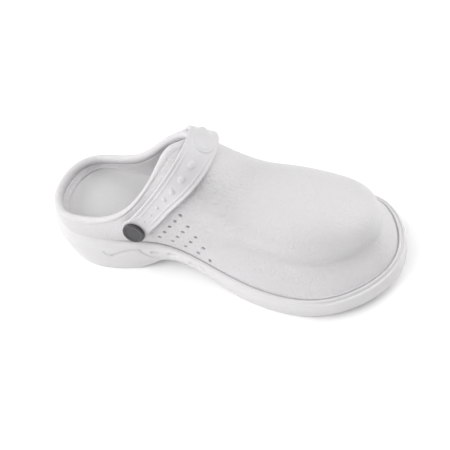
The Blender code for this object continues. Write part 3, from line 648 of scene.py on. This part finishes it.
def add_piece(name, points, faces, material, sharp=None):
    """A mesh object from points in the shapes' own frame, its doubles welded, facing out."""
    mesh = bpy.data.meshes.new(name)
    mesh.from_pydata((np.asarray(points) + SHIFT).tolist(), [], [list(face) for face in faces])
    body = bmesh.new()
    body.from_mesh(mesh)
    bmesh.ops.remove_doubles(body, verts=body.verts, dist=WELD)
    bmesh.ops.recalc_face_normals(body, faces=body.faces)
    if body.calc_volume(signed=True) < 0:
        bmesh.ops.reverse_faces(body, faces=body.faces)
    body.to_mesh(mesh)
    body.free()
    mesh.shade_smooth()
    if sharp:
        mesh.set_sharp_from_angle(angle=math.radians(sharp))
    mesh.materials.append(material)
    return add_object(name, mesh)


def add_rings(name, rings, material, sharp=None, closed=False):
    """A piece from rings, each joined to the next, and the last to the first if closed."""
    faces = grid_faces(len(rings), len(rings[0]), close_rows=closed, close_columns=True)
    return add_piece(name, np.concatenate(rings), faces, material, sharp)


def cut(thing, cutter, sharp):
    """Takes the cutter out of a piece with one Boolean, and applies it."""
    modifier = thing.modifiers.new("cut", "BOOLEAN")
    modifier.operation = "DIFFERENCE"
    modifier.solver = "MANIFOLD"
    modifier.object = cutter
    graph = bpy.context.evaluated_depsgraph_get()
    mesh = bpy.data.meshes.new_from_object(thing.evaluated_get(graph))
    thing.modifiers.clear()
    thing.data = mesh
    bpy.data.objects.remove(cutter)
    mesh.shade_smooth()
    mesh.set_sharp_from_angle(angle=math.radians(sharp))


def lathe(profile, centre, axis, sides=ROUND):
    """Points and faces of a (radius, height) profile turned round an axis through a point."""
    turn = np.array(Vector((0, 0, 1)).rotation_difference(Vector(axis)).to_matrix())
    angles = np.linspace(0, 2 * math.pi, sides, endpoint=False)
    radius, height = np.array(profile, float).T
    ring = [np.outer(wave(angles), radius) for wave in (np.cos, np.sin)]
    points = np.stack([*ring, np.broadcast_to(height, ring[0].shape)], axis=-1)
    return points.reshape(-1, 3) @ turn.T + np.asarray(centre), grid_faces(sides, len(profile))


def to_middle(last, ring, rows, height):
    """Rows from a closed ring in to the last's middle line; height(x, y, rho) gives each z."""
    across = (ring[:, 0] + np.roll(ring[::-1, 0], 1)) / 2
    centre = np.clip(across, last.heel, last.toe)
    middle = np.column_stack([centre, crest(centre)[1]])
    steps = np.linspace(0, 1, rows + 1)[1:, None, None]
    plan = ring[None, :, :2] + (middle - ring[:, :2])[None] * steps
    z = height(plan[..., 0], plan[..., 1], 1 - steps[..., 0])
    return np.concatenate([plan, np.broadcast_to(z, plan.shape[:2])[..., None]], axis=2)


def trough(points, path, width):
    """1 on a smooth path through the given points, fading to 0 within about twice its width."""
    reach = running_length(path)
    line = natural(reach, path, np.linspace(0, reach[-1], MARK_STEPS))
    flat = points.reshape(-1, points.shape[-1])
    near = np.full(len(flat), 1e9)
    for a, b in zip(line, line[1:]):
        along = np.clip(((flat - a) @ (b - a)) / ((b - a) @ (b - a)), 0, 1)
        near = np.minimum(near, np.linalg.norm(flat - a - along[:, None] * (b - a), axis=1))
    return bell(near, width).reshape(points.shape[:-1])


def side_point(last, x, z, lateral):
    """The point of the upper's wall at this length and height, on one side."""
    side = 1 if lateral else -1
    ys = crest(np.array(x))[1] + np.linspace(0.0, 0.6 * BALL_WIDTH, SEARCH_STEPS) * side
    inside = last.holds(np.stack([np.full_like(ys, x), ys, np.full_like(ys, z)], axis=1))
    flare = flare_of(np.array([[x, side * BALL_WIDTH]]))[0] * flare_fade(z - seam_height(x))
    return np.array([x, ys[np.flatnonzero(inside)[-1]] + side * flare, z])


def vent_places(last):
    """Mouths and outward directions of the triangle of vents on each side."""
    slant, row_slant = math.radians(VENT_SLANT), math.radians(VENT_ROW_SLANT)
    along_row = np.array([-math.cos(slant), -math.sin(slant)]) * VENT_PITCH
    next_row = np.array([math.cos(row_slant), -math.sin(row_slant)]) * VENT_ROW_PITCH
    first = np.array([station(VENT_ALONG), VENT_HEIGHT])
    places = []
    for lateral in (False, True):
        for row in range(VENT_ROWS):
            for place in range(VENT_ROWS - row):
                x, z = first + along_row * place + next_row * row
                centre = side_point(last, x, z, lateral)
                ahead = side_point(last, x + VENT_RADIUS, z, lateral) - centre
                above = side_point(last, x, z + VENT_RADIUS, lateral) - centre
                axis = unit(np.cross(ahead, above))
                places.append((centre, axis if (axis[1] > 0) == lateral else -axis))
    return places


class StrapPath:
    """The strap's middle line over the last, with a side and an outward direction along it."""

    def __init__(self, last):
        tilt = math.radians(STRAP_TILT)
        self.last = last
        self.along = np.array([math.cos(tilt), 0.0, math.sin(tilt)])
        self.side = np.array([math.sin(tilt), 0.0, -math.cos(tilt)])
        self.pivot = np.array([station(RIVET_ALONG), 0.0, RIVET_HEIGHT])
        angles = np.linspace(0.0, math.pi, STRAP_ANGLES)
        lean, clear = self.fit_to(angles)
        rays = np.outer(np.sin(angles), self.along) + np.outer(-np.cos(angles), [0.0, 1.0, 0.0])
        curve = self.pivot + rays * clear[:, None]
        curve += np.outer(STRAP_BOW * np.sin(angles), self.side)
        rise = (curve - self.pivot) @ self.along
        bent = np.flatnonzero(rise > CAP_RADIUS)
        ends = []
        for at, beside in ((bent[0], bent[1]), (bent[-1], bent[-2])):
            straight = unit(curve[at] - curve[beside])
            ends.append(curve[at] + straight * (rise[at] / abs(straight @ self.along) + STRAP_END))
        self.line = np.concatenate([[ends[0]], curve[bent], [ends[1]]])
        self.lean = np.concatenate([[lean[bent[0]]], lean[bent], [lean[bent[-1]]]])
        self.reach = running_length(self.line)
        self.length = self.reach[-1]

    def radius(self, angle, offset):
        """Distance from the rivets' line to the last's face, along a ray of the tilted plane."""
        far = np.linspace(STRAP_END, INSTEP_HEIGHT, RAY_STEPS)
        ray = self.along * math.sin(angle) + np.array([0.0, -math.cos(angle), 0.0])
        line = self.pivot + self.side * offset + ray * far[:, None]
        return far[np.flatnonzero(self.last.holds(line))[-1]]

    def fit_to(self, angles):
        """How the strap leans, and its distance from the rivets' line, at each angle round it."""
        knots = angles[::5]
        half = STRAP_WIDTH / 2 + (STRAP_WIDTH_TOP - STRAP_WIDTH) / 2 * np.sin(knots) ** 2
        bow = STRAP_BOW * np.sin(knots)
        offsets = np.outer(np.linspace(-1, 1, 5), half)
        radii = np.array([[self.radius(a, v) for a, v in zip(knots, row)] for row in offsets + bow])
        lean = (radii[-1] - radii[0]) / (2 * half)
        clear = (radii - lean * offsets).max(axis=0) + LIP_PROUD + STRAP_STANDOFF
        return natural(knots, lean, angles), natural(knots, clear, angles)

    def frames(self, far):
        """Middles, sides and outward directions at distances along the strap."""
        behind, points, ahead = (
            natural(self.reach, self.line, far + step) for step in (-AHEAD, 0.0, AHEAD)
        )
        normals = np.cross(self.side, unit(ahead - behind))
        lean = natural(self.reach, self.lean, far)[:, None]
        return points, unit(self.side + normals * lean), unit(normals - self.side * lean)


def strap_half_width(path, far):
    """Round ends, a narrow neck past each rivet, and the widest place at the disc."""
    near = np.minimum(far, path.length - far)
    middle = STRAP_MIDDLE * path.length
    way = np.where(far < middle, far, path.length - far) - STRAP_END
    way = way / (np.where(far < middle, middle, path.length - middle) - STRAP_END)
    spread = monotone(column(STRAP_SPREAD, 0), column(STRAP_SPREAD, 1), way)
    neck = (STRAP_WIDTH + (STRAP_WIDTH_TOP - STRAP_WIDTH) * spread) / 2
    end = np.sqrt(np.clip(STRAP_END**2 - (near - STRAP_END) ** 2, 0, None))
    return np.where(near < STRAP_END, end, np.maximum(end, neck))


def strap_relief(path, far, across, half):
    """Height over the strap's flat face: double borders, domes, the plain disc and the crown."""
    near = np.minimum(far, path.length - far)
    middle = STRAP_MIDDLE * path.length
    fade = smooth((near - 1.9 * STRAP_END) / (BORDER_FADE * STRAP_END))
    inset = (half - np.abs(across)) / BORDER_WIDTH
    outer = 0.85 * smooth(1.35 - inset / 0.80)
    inner = 0.50 * bell(inset - 1.45, 0.28)
    low = 1 - 0.75 * bell(far - middle, 1.9 * DISC_RADIUS)
    height = BORDER_HEIGHT * fade * low * np.maximum(outer, inner)
    halves = ((STRAP_END, middle - DISC_RADIUS), (path.length - STRAP_END, middle + DISC_RADIUS))
    for way, size in DOMES:
        tall = DOME_HEIGHT * (0.4 + 0.6 * size)
        for start, end in halves:
            rho = np.hypot(far - start - (end - start) * way, across) / (DOME_RADIUS * size)
            height = np.maximum(height, tall * np.sqrt(np.clip(1 - rho**2, 0, 1)))
    rho = np.hypot(far - middle, across)
    plate = 0.32 * (BORDER_HEIGHT + DISC_HEIGHT) * smooth((DISC_RADIUS - rho) / DISC_EDGE)
    plate -= 0.25 * DISC_HEIGHT * bell(rho - 0.80 * DISC_RADIUS, DISC_RING)
    share_across = across / half
    crown = STRAP_CROWN * (1 - 1.5 * share_across**2 - 0.9 * smooth(-share_across))
    return np.maximum(height, plate) + crown * bell(far - middle, STRAP_WIDTH_TOP)


def lip_bead(walls, cup):
    """The collar's rounded lip, ring by ring from the outer face over to the inner one."""
    normal = normals_of(walls)[:, -1]
    rise = unit(walls[:, -1] - walls[:, -2])
    centre = walls[:, -1] - normal * (LIP_THICK / 2 - LIP_PROUD) - rise * LIP_DEPTH * LIP_SUNK
    bead = []
    for degrees in np.linspace(*LIP_TURN, BEAD_ROWS):
        angle = math.radians(degrees)
        curl = math.cos(angle) - (1 + math.cos(angle)) * cup[:, None] * (degrees > 180)
        side = normal * curl * LIP_THICK / 2
        bead.append(centre + side + rise * math.sin(angle) * LIP_DEPTH / 2)
    return bead


def lining_rings(inner, out, lean, base, lip):
    """The wall's inner face from under the lip down. lean: how far its foot comes in at each
    station; lip: the height of the lip's lower edge."""
    room = lip - (base - BED_DEPTH + INSOLE_THICK)
    low = np.clip((lip[:, None] - inner[:, :, 2]) / room[:, None], 0, 1)
    way = CUP_TOP + (1 - CUP_TOP) * low**CUP_POWER
    inner[:, :, :2] -= out[:, None] * (lean[:, None] * way)[..., None]
    limits = lip - LIP_CLEAR
    tops = [np.flatnonzero(line[: WALL_ROWS - 5, 2] < z)[-1] for line, z in zip(inner, limits)]
    rows = []
    for line, top in zip(inner, tops):
        at = np.linspace(top, 1, INNER_ROWS)
        rows.append([np.interp(at, np.arange(WALL_ROWS + 1), line[:, i]) for i in range(3)])
    return [np.array(rows)[:, :, j] for j in range(INNER_ROWS)]


def vent_cutter(last, material):
    """All vents as one piece, each with a rounded mouth."""
    wide = VENT_RADIUS + VENT_MOUTH * 1.4
    tool = (
        (0.0, -2 * WALL),
        (VENT_RADIUS, -2 * WALL),
        (VENT_RADIUS, -VENT_MOUTH),
        (VENT_RADIUS + VENT_MOUTH * 0.35, -VENT_MOUTH * 0.3),
        (wide, VENT_MOUTH),
        (wide, 2 * VENT_MOUTH),
        (0.0, 2 * VENT_MOUTH),
    )
    shells = [lathe(tool, centre, axis, VENT_SIDES) for centre, axis in vent_places(last)]
    size = len(shells[0][0])
    faces = np.concatenate([shell[1] + i * size for i, shell in enumerate(shells)])
    return add_piece("vents", np.concatenate([shell[0] for shell in shells]), faces, material)


def build_upper(last, material):
    """The shell as a closed ring of rings: foot, outer face, lip, inner face, and the vents."""
    walls, plain, out, seam = upper_rows(last)
    base = seam_height(seam[:, 0])
    foot = []
    for degrees in (90, 68, 45, 22):
        angle = math.radians(degrees)
        ring = seam - out * FOOT_EDGE * (1 - math.cos(angle))
        foot.append(np.column_stack([ring, base + FOOT_EDGE * (1 - math.sin(angle))]))
    cup = 1 - ramp(share(seam[:, 0]), CUP_ENDS)
    bead = lip_bead(walls, cup)
    lean = cup * HEEL_CUP
    inner = walls - normals_of(plain) * WALL
    inside = seam - out * (WALL + lean[:, None])
    rings = [
        *foot,
        *[walls[:, j] for j in range(WALL_ROWS)],
        *bead,
        *lining_rings(inner, out, lean, base, bead[-1][:, 2]),
        np.column_stack([inside, seam_height(inside[:, 0])]),
    ]
    upper = add_rings("upper_shell", rings, material, closed=True)
    cut(upper, vent_cutter(last, material), 40)
    return upper


def sole_profile(x, lateral):
    """The sole's side at one station: (out, z) points from the groove down to the underside."""
    base = float(seam_height(x))
    heel = 1 - ramp(share(x), SOFT_SEAM)
    toe = ramp(share(x), TOE_CREST)
    tops = np.array(SOLE_TOPS)
    top = tops[:, 0:2] * heel + tops[:, 2:4] * (1 - heel - toe) + tops[:, 4:6] * toe
    side = [(RIM * wide, base - RIM * drop) for wide, drop in top]
    low = float(underside(x, lateral))
    rim = side[-1][1]
    foot = [(RIM - HEEL_TUCK * inward, rim + (low - rim) * down) for down, inward in SOLE_FOOT]
    profile = np.array(side + foot)
    reach = running_length(profile)
    return natural(reach, profile, reach[-1] * np.linspace(0, 1, SIDE_ROWS) ** SIDE_SPACING)


def tread_grooves(x):
    """1 in the cross grooves of the heel's and the forefoot's tread, 0 between them."""
    deep = np.zeros_like(x)
    for start, end in TREADS:
        for middle in np.arange(station(start), station(end), TREAD_PITCH):
            inside = TREAD_WIDTH / 2 - np.abs(x - middle)
            deep = np.maximum(deep, smooth(inside / TREAD_ROUND + 0.5))
    return deep


def sole_sides(seam, out, lateral):
    """The sole's side at each station from the groove down, with its carved lines and scoops."""
    profiles = np.array([sole_profile(x, side) for x, side in zip(seam[:, 0], lateral)])
    plan = seam[:, None] + out[:, None] * profiles[..., :1]
    sides = np.concatenate([plan, profiles[..., 1:]], axis=2)
    sunk = np.zeros(sides.shape[:2])
    for path, width, depth in SOLE_MARKS:
        sunk += depth / 1000 * trough(sides[..., ::2], np.array(path) / 1000, width / 1000)
    sides[..., :2] -= out[:, None] * sunk[..., None]
    return sides


def build_sole(last, material):
    """The unit sole: the insole's bed, the groove for the wall's foot, the side and the tread."""
    seam = seam_loop(SOLE_HALF)
    out = outward(seam)
    seat = seam - out * (FOOT_EDGE + GAP)
    bed = seam - out * (WALL + GAP)
    bed_line = np.column_stack([bed, seam_height(bed[:, 0]) - BED_DEPTH])
    lateral = smooth(0.5 + seam[:, 1] / (0.2 * SEAM_WIDTH))
    sides = sole_sides(seam, out, lateral)
    edge = sides[:, -1]

    def foot(x, y, rho):
        across = smooth(0.5 + (y - crest(np.clip(x, last.heel, last.toe))[1]) / (0.9 * SEAM_WIDTH))
        treads = TREAD_DEPTH * tread_grooves(x) * (1 - ramp(rho, TREAD_INSIDE))
        step = edge[None, :, 2] - underside(edge[:, 0], lateral)[None]
        return underside(x, across) + treads + step * rho**8

    rings = [
        *to_middle(last, bed_line, 4, lambda x, y, rho: seam_height(x) - BED_DEPTH)[::-1],
        bed_line,
        np.column_stack([bed, seam_height(bed[:, 0]) - GAP]),
        np.column_stack([seat, seam_height(seat[:, 0]) - GAP]),
        *[sides[:, j] for j in range(SIDE_ROWS)],
        *to_middle(last, edge, FILL_ROWS, foot),
    ]
    return add_rings("sole_unit", rings, material, 60)


def build_insole(last, material):
    """The footbed: flat in the middle, its edge curling up along the upper's wall."""
    seam = seam_loop(SOLE_HALF)
    out = outward(seam)
    edge = seam - out * (WALL + 2 * GAP)
    low = GAP - BED_DEPTH
    base = np.column_stack([edge, seam_height(edge[:, 0]) + low])
    rings = [*to_middle(last, base, 3, lambda x, y, rho: seam_height(x) + low)[::-1], base]
    crown = low + INSOLE_THICK + INSOLE_CUP + CUP_CURL
    for degrees in (0, 30, 60, 90):
        angle = math.radians(degrees)
        ring = edge - out * INSOLE_ROUND * (1 - math.cos(angle))
        lift = crown - INSOLE_ROUND * (1 - math.sin(angle))
        rings.append(np.column_stack([ring, seam_height(ring[:, 0]) + lift]))

    def top(x, y, rho):
        curl = (INSOLE_CUP + CUP_CURL) * np.clip(rho, 0, 1) ** CURL_POWER
        return seam_height(x) + low + INSOLE_THICK + curl

    rings += list(to_middle(last, rings[-1], 2 * FILL_ROWS, top))
    return add_rings("insole_pad", rings, material)


def build_strap(path, material):
    """The heel strap: its relief on the outer face, round ends, and a flat face underneath."""
    tip = STRAP_END * (1 - np.cos(np.radians(np.linspace(2, 88, STRAP_TIP_ROWS))))
    inner = np.linspace(STRAP_END, path.length - STRAP_END, STRAP_ROWS)
    far = np.concatenate([tip, inner[1:-1], path.length - tip[::-1]])
    points, sides, normals = path.frames(far)
    half = strap_half_width(path, far)[:, None]
    over = np.linspace(-1, 1, STRAP_COLUMNS)[None, :]
    over = over * (1.25 - 0.25 * over**2)
    across = over * half
    relief = strap_relief(path, far[:, None], across, half)
    round_edge = np.minimum(STRAP_ROUND, half * 0.4)
    inset = half - np.abs(across)
    turn = np.clip(1 - inset / round_edge, 0, 1)
    drop = round_edge * (1 - np.sqrt(np.clip(1 - turn**2, 0, 1)))
    height = STRAP_THICK + relief - drop
    under = np.linspace(1, -1, 9)[None, :] * (half - STRAP_UNDER * 2 / 3)
    belly = np.concatenate([half, under, -half], axis=1)
    raised = np.full_like(half, STRAP_UNDER)
    low = np.concatenate([raised, 0 * under, raised], axis=1)
    wide = np.concatenate([across, belly], axis=1)[..., None]
    tall = np.concatenate([height, low], axis=1)[..., None]
    grid = points[:, None] + sides[:, None] * wide + normals[:, None] * tall
    rows, columns = grid.shape[:2]
    faces = grid_faces(rows, columns, close_rows=False, close_columns=True).tolist()
    faces.append(list(range(columns)))
    faces.append(list(range((rows - 1) * columns, rows * columns)))
    return add_piece("strap_band", grid.reshape(-1, 3), faces, material, 60)


def wall_gap(last, start, inward):
    """Distance from a point outside the last to its face, along a direction."""
    steps = np.linspace(0, BALL_WIDTH / 4, GAP_STEPS)
    line = np.array(start) + np.outer(steps, inward)
    return steps[np.flatnonzero(last.holds(line))[0]]


def wall_depth(last, seat, across, out):
    """How far behind a rivet's seat the wall's inner face is, with a small gap."""
    ring = [Matrix.Rotation(math.radians(turn), 3, out) @ across for turn in range(0, 360, 45)]
    gaps = [wall_gap(last, seat + step * BACK_RADIUS, -out) for step in ring]
    lean = (max(gaps) - min(gaps)) / (2 * BACK_RADIUS)
    return max(gaps) + WALL * math.hypot(1, lean) + GAP


def cap_profile(deep):
    """Shank and dished cap of a rivet."""
    foot = -(STRAP_THICK + GAP + deep + BACK_THICK)
    cap = [(0.0, foot), (SHANK_RADIUS, foot), (SHANK_RADIUS, 0.0), (CAP_RADIUS * 0.97, 0.0)]
    for degrees in range(-60, 91, 15):
        angle = math.radians(degrees)
        height = CAP_THICK - CAP_EDGE if degrees > 0 else CAP_EDGE
        wide = CAP_RADIUS - CAP_EDGE * (1 - math.cos(angle))
        cap.append((wide, height + CAP_EDGE * math.sin(angle)))
    for way in CAP_STEPS:
        dish = CAP_DISH * float(smooth((0.86 - way) / 0.22))
        cap.append((CAP_RADIUS * way, CAP_THICK - dish))
    return cap


def head_profile():
    """Inner head of a rivet: a ring round the shank with a bevelled edge."""
    bore = SHANK_RADIUS + GAP
    return [
        (bore, 0.0),
        (BACK_RADIUS, 0.0),
        (BACK_RADIUS, -BACK_THICK * 0.5),
        (BACK_RADIUS * (1 - BACK_EDGE / 3), -BACK_THICK * (1 - BACK_EDGE)),
        (BACK_RADIUS * (1 - BACK_EDGE), -BACK_THICK),
        (bore, -BACK_THICK),
        (bore, 0.0),
    ]


def build_rivets(last, path, material):
    """Cap with shank, and inner head, at each end of the strap."""
    made = []
    for side, far in (("medial", STRAP_END), ("lateral", path.length - STRAP_END)):
        points, sides, normals = path.frames(np.array([far]))
        seat, across, out = Vector(points[0]), Vector(sides[0]), Vector(normals[0])
        deep = wall_depth(last, seat, across, out)
        cap = lathe(cap_profile(deep), seat + out * (STRAP_THICK + GAP), out)
        head = lathe(head_profile(), seat - out * deep, out)
        made.append(add_piece(f"cap_{side}", *cap, material, 35))
        made.append(add_piece(f"back_{side}", *head, material, 35))
    return made


def new_material(name):
    """A material with its node tree, its shader and the object's own coordinates."""
    material = bpy.data.materials.new(name)
    material.use_nodes = True
    tree = material.node_tree
    place = tree.nodes.new("ShaderNodeTexCoord").outputs["Object"]
    return material, tree, tree.nodes["Principled BSDF"], place


def set_inputs(node, **values):
    """Sets inputs of a node by name, with an underscore for each blank."""
    for name, value in values.items():
        node.inputs[name.replace("_", " ")].default_value = value


def noise(tree, place, scale, detail):
    texture = tree.nodes.new("ShaderNodeTexNoise")
    set_inputs(texture, Scale=scale, Detail=detail)
    tree.links.new(place, texture.inputs["Vector"])
    return texture.outputs["Fac"]


def tint(tree, factor, tones, shader):
    """The shader's colour, between a dark tone and a light one."""
    tone = tree.nodes.new("ShaderNodeMix")
    tone.data_type = "RGBA"
    for name, colour in zip("AB", tones):
        tone.inputs[name].default_value = (*colour, 1.0)
    tree.links.new(factor, tone.inputs["Factor"])
    tree.links.new(tone.outputs["Result"], shader.inputs["Base Color"])


def levels(tree, value, ends, results, kind="SMOOTHSTEP"):
    """A value taken from one range to another."""
    change = tree.nodes.new("ShaderNodeMapRange")
    change.interpolation_type = kind
    for name, number in zip(("From Min", "From Max", "To Min", "To Max"), (*ends, *results)):
        change.inputs[name].default_value = number
    tree.links.new(value, change.inputs["Value"])
    return change.outputs["Result"]


def weighted(tree, value, weight, added):
    """A value times its weight, plus another value."""
    total = tree.nodes.new("ShaderNodeMath")
    total.operation = "MULTIPLY_ADD"
    total.inputs[1].default_value = weight
    tree.links.new(value, total.inputs[0])
    tree.links.new(added, total.inputs[2])
    return total.outputs["Value"]


def bumped(tree, height, depth, under=None):
    """The surface's direction with a bump of this depth, over another bump if there is one."""
    bump = tree.nodes.new("ShaderNodeBump")
    set_inputs(bump, Strength=1.0, Distance=depth)
    tree.links.new(height, bump.inputs["Height"])
    if under is not None:
        tree.links.new(under, bump.inputs["Normal"])
    return bump.outputs["Normal"]


def leather(tree, place, grain, depth):
    """Bump of a leathery grain: pebbles of this size, with wider waves and finer pores."""
    pebble = tree.nodes.new("ShaderNodeTexVoronoi")
    pebble.feature = "SMOOTH_F1"
    set_inputs(pebble, Scale=1.0 / grain, Smoothness=0.6)
    tree.links.new(place, pebble.inputs["Vector"])
    pores = noise(tree, place, 2.4 / grain, 4.0)
    waves = noise(tree, place, 0.5 / grain, 2.0)
    height = weighted(tree, pores, 0.5, pebble.outputs["Distance"])
    return bumped(tree, weighted(tree, waves, 0.8, height), depth)


def folded(tree, place, under, middle, reach, depth):
    """Bump of fine folds over another bump, fading out at their reach from their middle."""
    stretch = tree.nodes.new("ShaderNodeMapping")
    set_inputs(stretch, Scale=FOLD_STRETCH)
    tree.links.new(place, stretch.inputs["Vector"])
    away = tree.nodes.new("ShaderNodeVectorMath")
    away.operation = "DISTANCE"
    away.inputs[1].default_value = middle
    tree.links.new(place, away.inputs[0])
    sized = tree.nodes.new("ShaderNodeMath")
    sized.operation = "MULTIPLY"
    tree.links.new(noise(tree, stretch.outputs["Vector"], 1.0, 2.0), sized.inputs[0])
    fade = levels(tree, away.outputs["Value"], (0.3 * reach, reach), (1.0, 0.0))
    tree.links.new(fade, sized.inputs[1])
    return bumped(tree, sized.outputs["Value"], depth, under)


def foam(name, colour, roughness, grain, depth, folds):
    """Moulded foam: faint mottling, a leathery grain, and fine folds where they are given."""
    material, tree, shader, place = new_material(name)
    set_inputs(shader, Roughness=roughness, Specular_IOR_Level=FOAM_SHINE)
    tones = [[min(1.0, c * part) for c in colour] for part in MOTTLE]
    tint(tree, noise(tree, place, 26.0, 3.0), tones, shader)
    normal = leather(tree, place, grain, depth)
    if folds:
        normal = folded(tree, place, normal, *folds)
    tree.links.new(normal, shader.inputs["Normal"])
    return material


def dark_plastic(name):
    """Moulded plastic of the rivets: near black, fine matt finish, paler scuffs."""
    material, tree, shader, place = new_material(name)
    scuff = noise(tree, place, 420.0, 5.0)
    tint(tree, scuff, PLASTIC_TONES, shader)
    rough = levels(tree, scuff, (0.0, 1.0), PLASTIC_ROUGHNESS, "LINEAR")
    tree.links.new(rough, shader.inputs["Roughness"])
    tree.links.new(bumped(tree, scuff, 0.00003), shader.inputs["Normal"])
    return material


def build_floor():
    """A plain pale floor with no shine."""
    far = FLOOR_REACH
    corners = [(-far, -far, 0), (far, -far, 0), (far, far, 0), (-far, far, 0)]
    mesh = bpy.data.meshes.new("floor")
    mesh.from_pydata(corners, [], [(0, 1, 2, 3)])
    floor = add_object("floor", mesh)
    material = bpy.data.materials.new("floor")
    material.use_nodes = True
    shader = material.node_tree.nodes["Principled BSDF"]
    set_inputs(shader, Base_Color=(*FLOOR_TONE, 1.0), Roughness=0.9, Specular_IOR_Level=0.0)
    mesh.materials.append(material)


def build_sky():
    """White light from all round, brighter from the horizon than from overhead."""
    world = bpy.data.worlds.new("studio")
    bpy.context.scene.world = world
    world.use_nodes = True
    tree = world.node_tree
    sky = tree.nodes["Background"]
    set_inputs(sky, Color=(1.0, 1.0, 1.0, 1.0))
    place = tree.nodes.new("ShaderNodeTexCoord").outputs["Generated"]
    axes = tree.nodes.new("ShaderNodeSeparateXYZ")
    tree.links.new(place, axes.inputs["Vector"])
    tree.links.new(levels(tree, axes.outputs["Z"], SKY_HEIGHTS, SKY), sky.inputs["Strength"])


def build_lights():
    for name, azimuth, elevation, away, size, power in LIGHTS:
        around, above = math.radians(azimuth), math.radians(elevation)
        flat = math.cos(above) * away
        place = Vector((math.cos(around) * flat, math.sin(around) * flat, math.sin(above) * away))
        light = bpy.data.lights.new(name, "AREA")
        light.size = size
        light.energy = power
        lamp = add_object(name, light)
        lamp.location = place
        lamp.rotation_euler = (Vector(LIGHT_AIM) - place).to_track_quat("-Z", "Y").to_euler()


def build_camera():
    """The camera at the photograph's angle."""
    elevation, azimuth, roll = (math.radians(angle) for angle in CAMERA_ANGLES)
    level = Vector((math.cos(azimuth), math.sin(azimuth), 0.0))
    flat = math.cos(elevation)
    back = Vector((math.sin(azimuth) * flat, -math.cos(azimuth) * flat, math.sin(elevation)))
    raised = back.cross(level)
    right = level * math.cos(roll) + raised * math.sin(roll)
    up = raised * math.cos(roll) - level * math.sin(roll)
    lens = bpy.data.cameras.new("camera")
    lens.sensor_width = 36.0
    lens.lens = CAMERA_LENS
    lens.shift_x, lens.shift_y = CAMERA_SHIFT
    lens.clip_start = 0.01
    camera = add_object("camera", lens)
    turn = Matrix((right, up, back)).transposed().to_4x4()
    camera.matrix_world = Matrix.Translation(Vector(CAMERA_TARGET) + back * CAMERA_DISTANCE) @ turn
    bpy.context.scene.camera = camera
    bpy.context.scene.view_settings.view_transform = "Standard"


def stand_for(piece, slot, *nodes):
    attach(piece, "root")
    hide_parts(*nodes)


def main():
    last = Last()
    path = StrapPath(last)
    upper_foam, sole_foam, shaded_insole_foam, strap_foam = (foam(*look) for look in FOAMS)
    plastic = dark_plastic("dark_plastic")
    stand_for(build_upper(last, upper_foam), "foam_upper", "upper")
    stand_for(build_sole(last, sole_foam), "foam_sole", "sole")
    stand_for(build_insole(last, shaded_insole_foam), "foam_insole", "insole")
    stand_for(build_strap(path, strap_foam), "foam_strap", "heel_strap")
    names = ("rivet_cap_medial", "rivet_back_medial", "rivet_cap_lateral", "rivet_back_lateral")
    for piece, node in zip(build_rivets(last, path, plastic), names):
        stand_for(piece, "dark_plastic", node)
    build_floor()
    build_sky()
    build_lights()
    build_camera()


main()
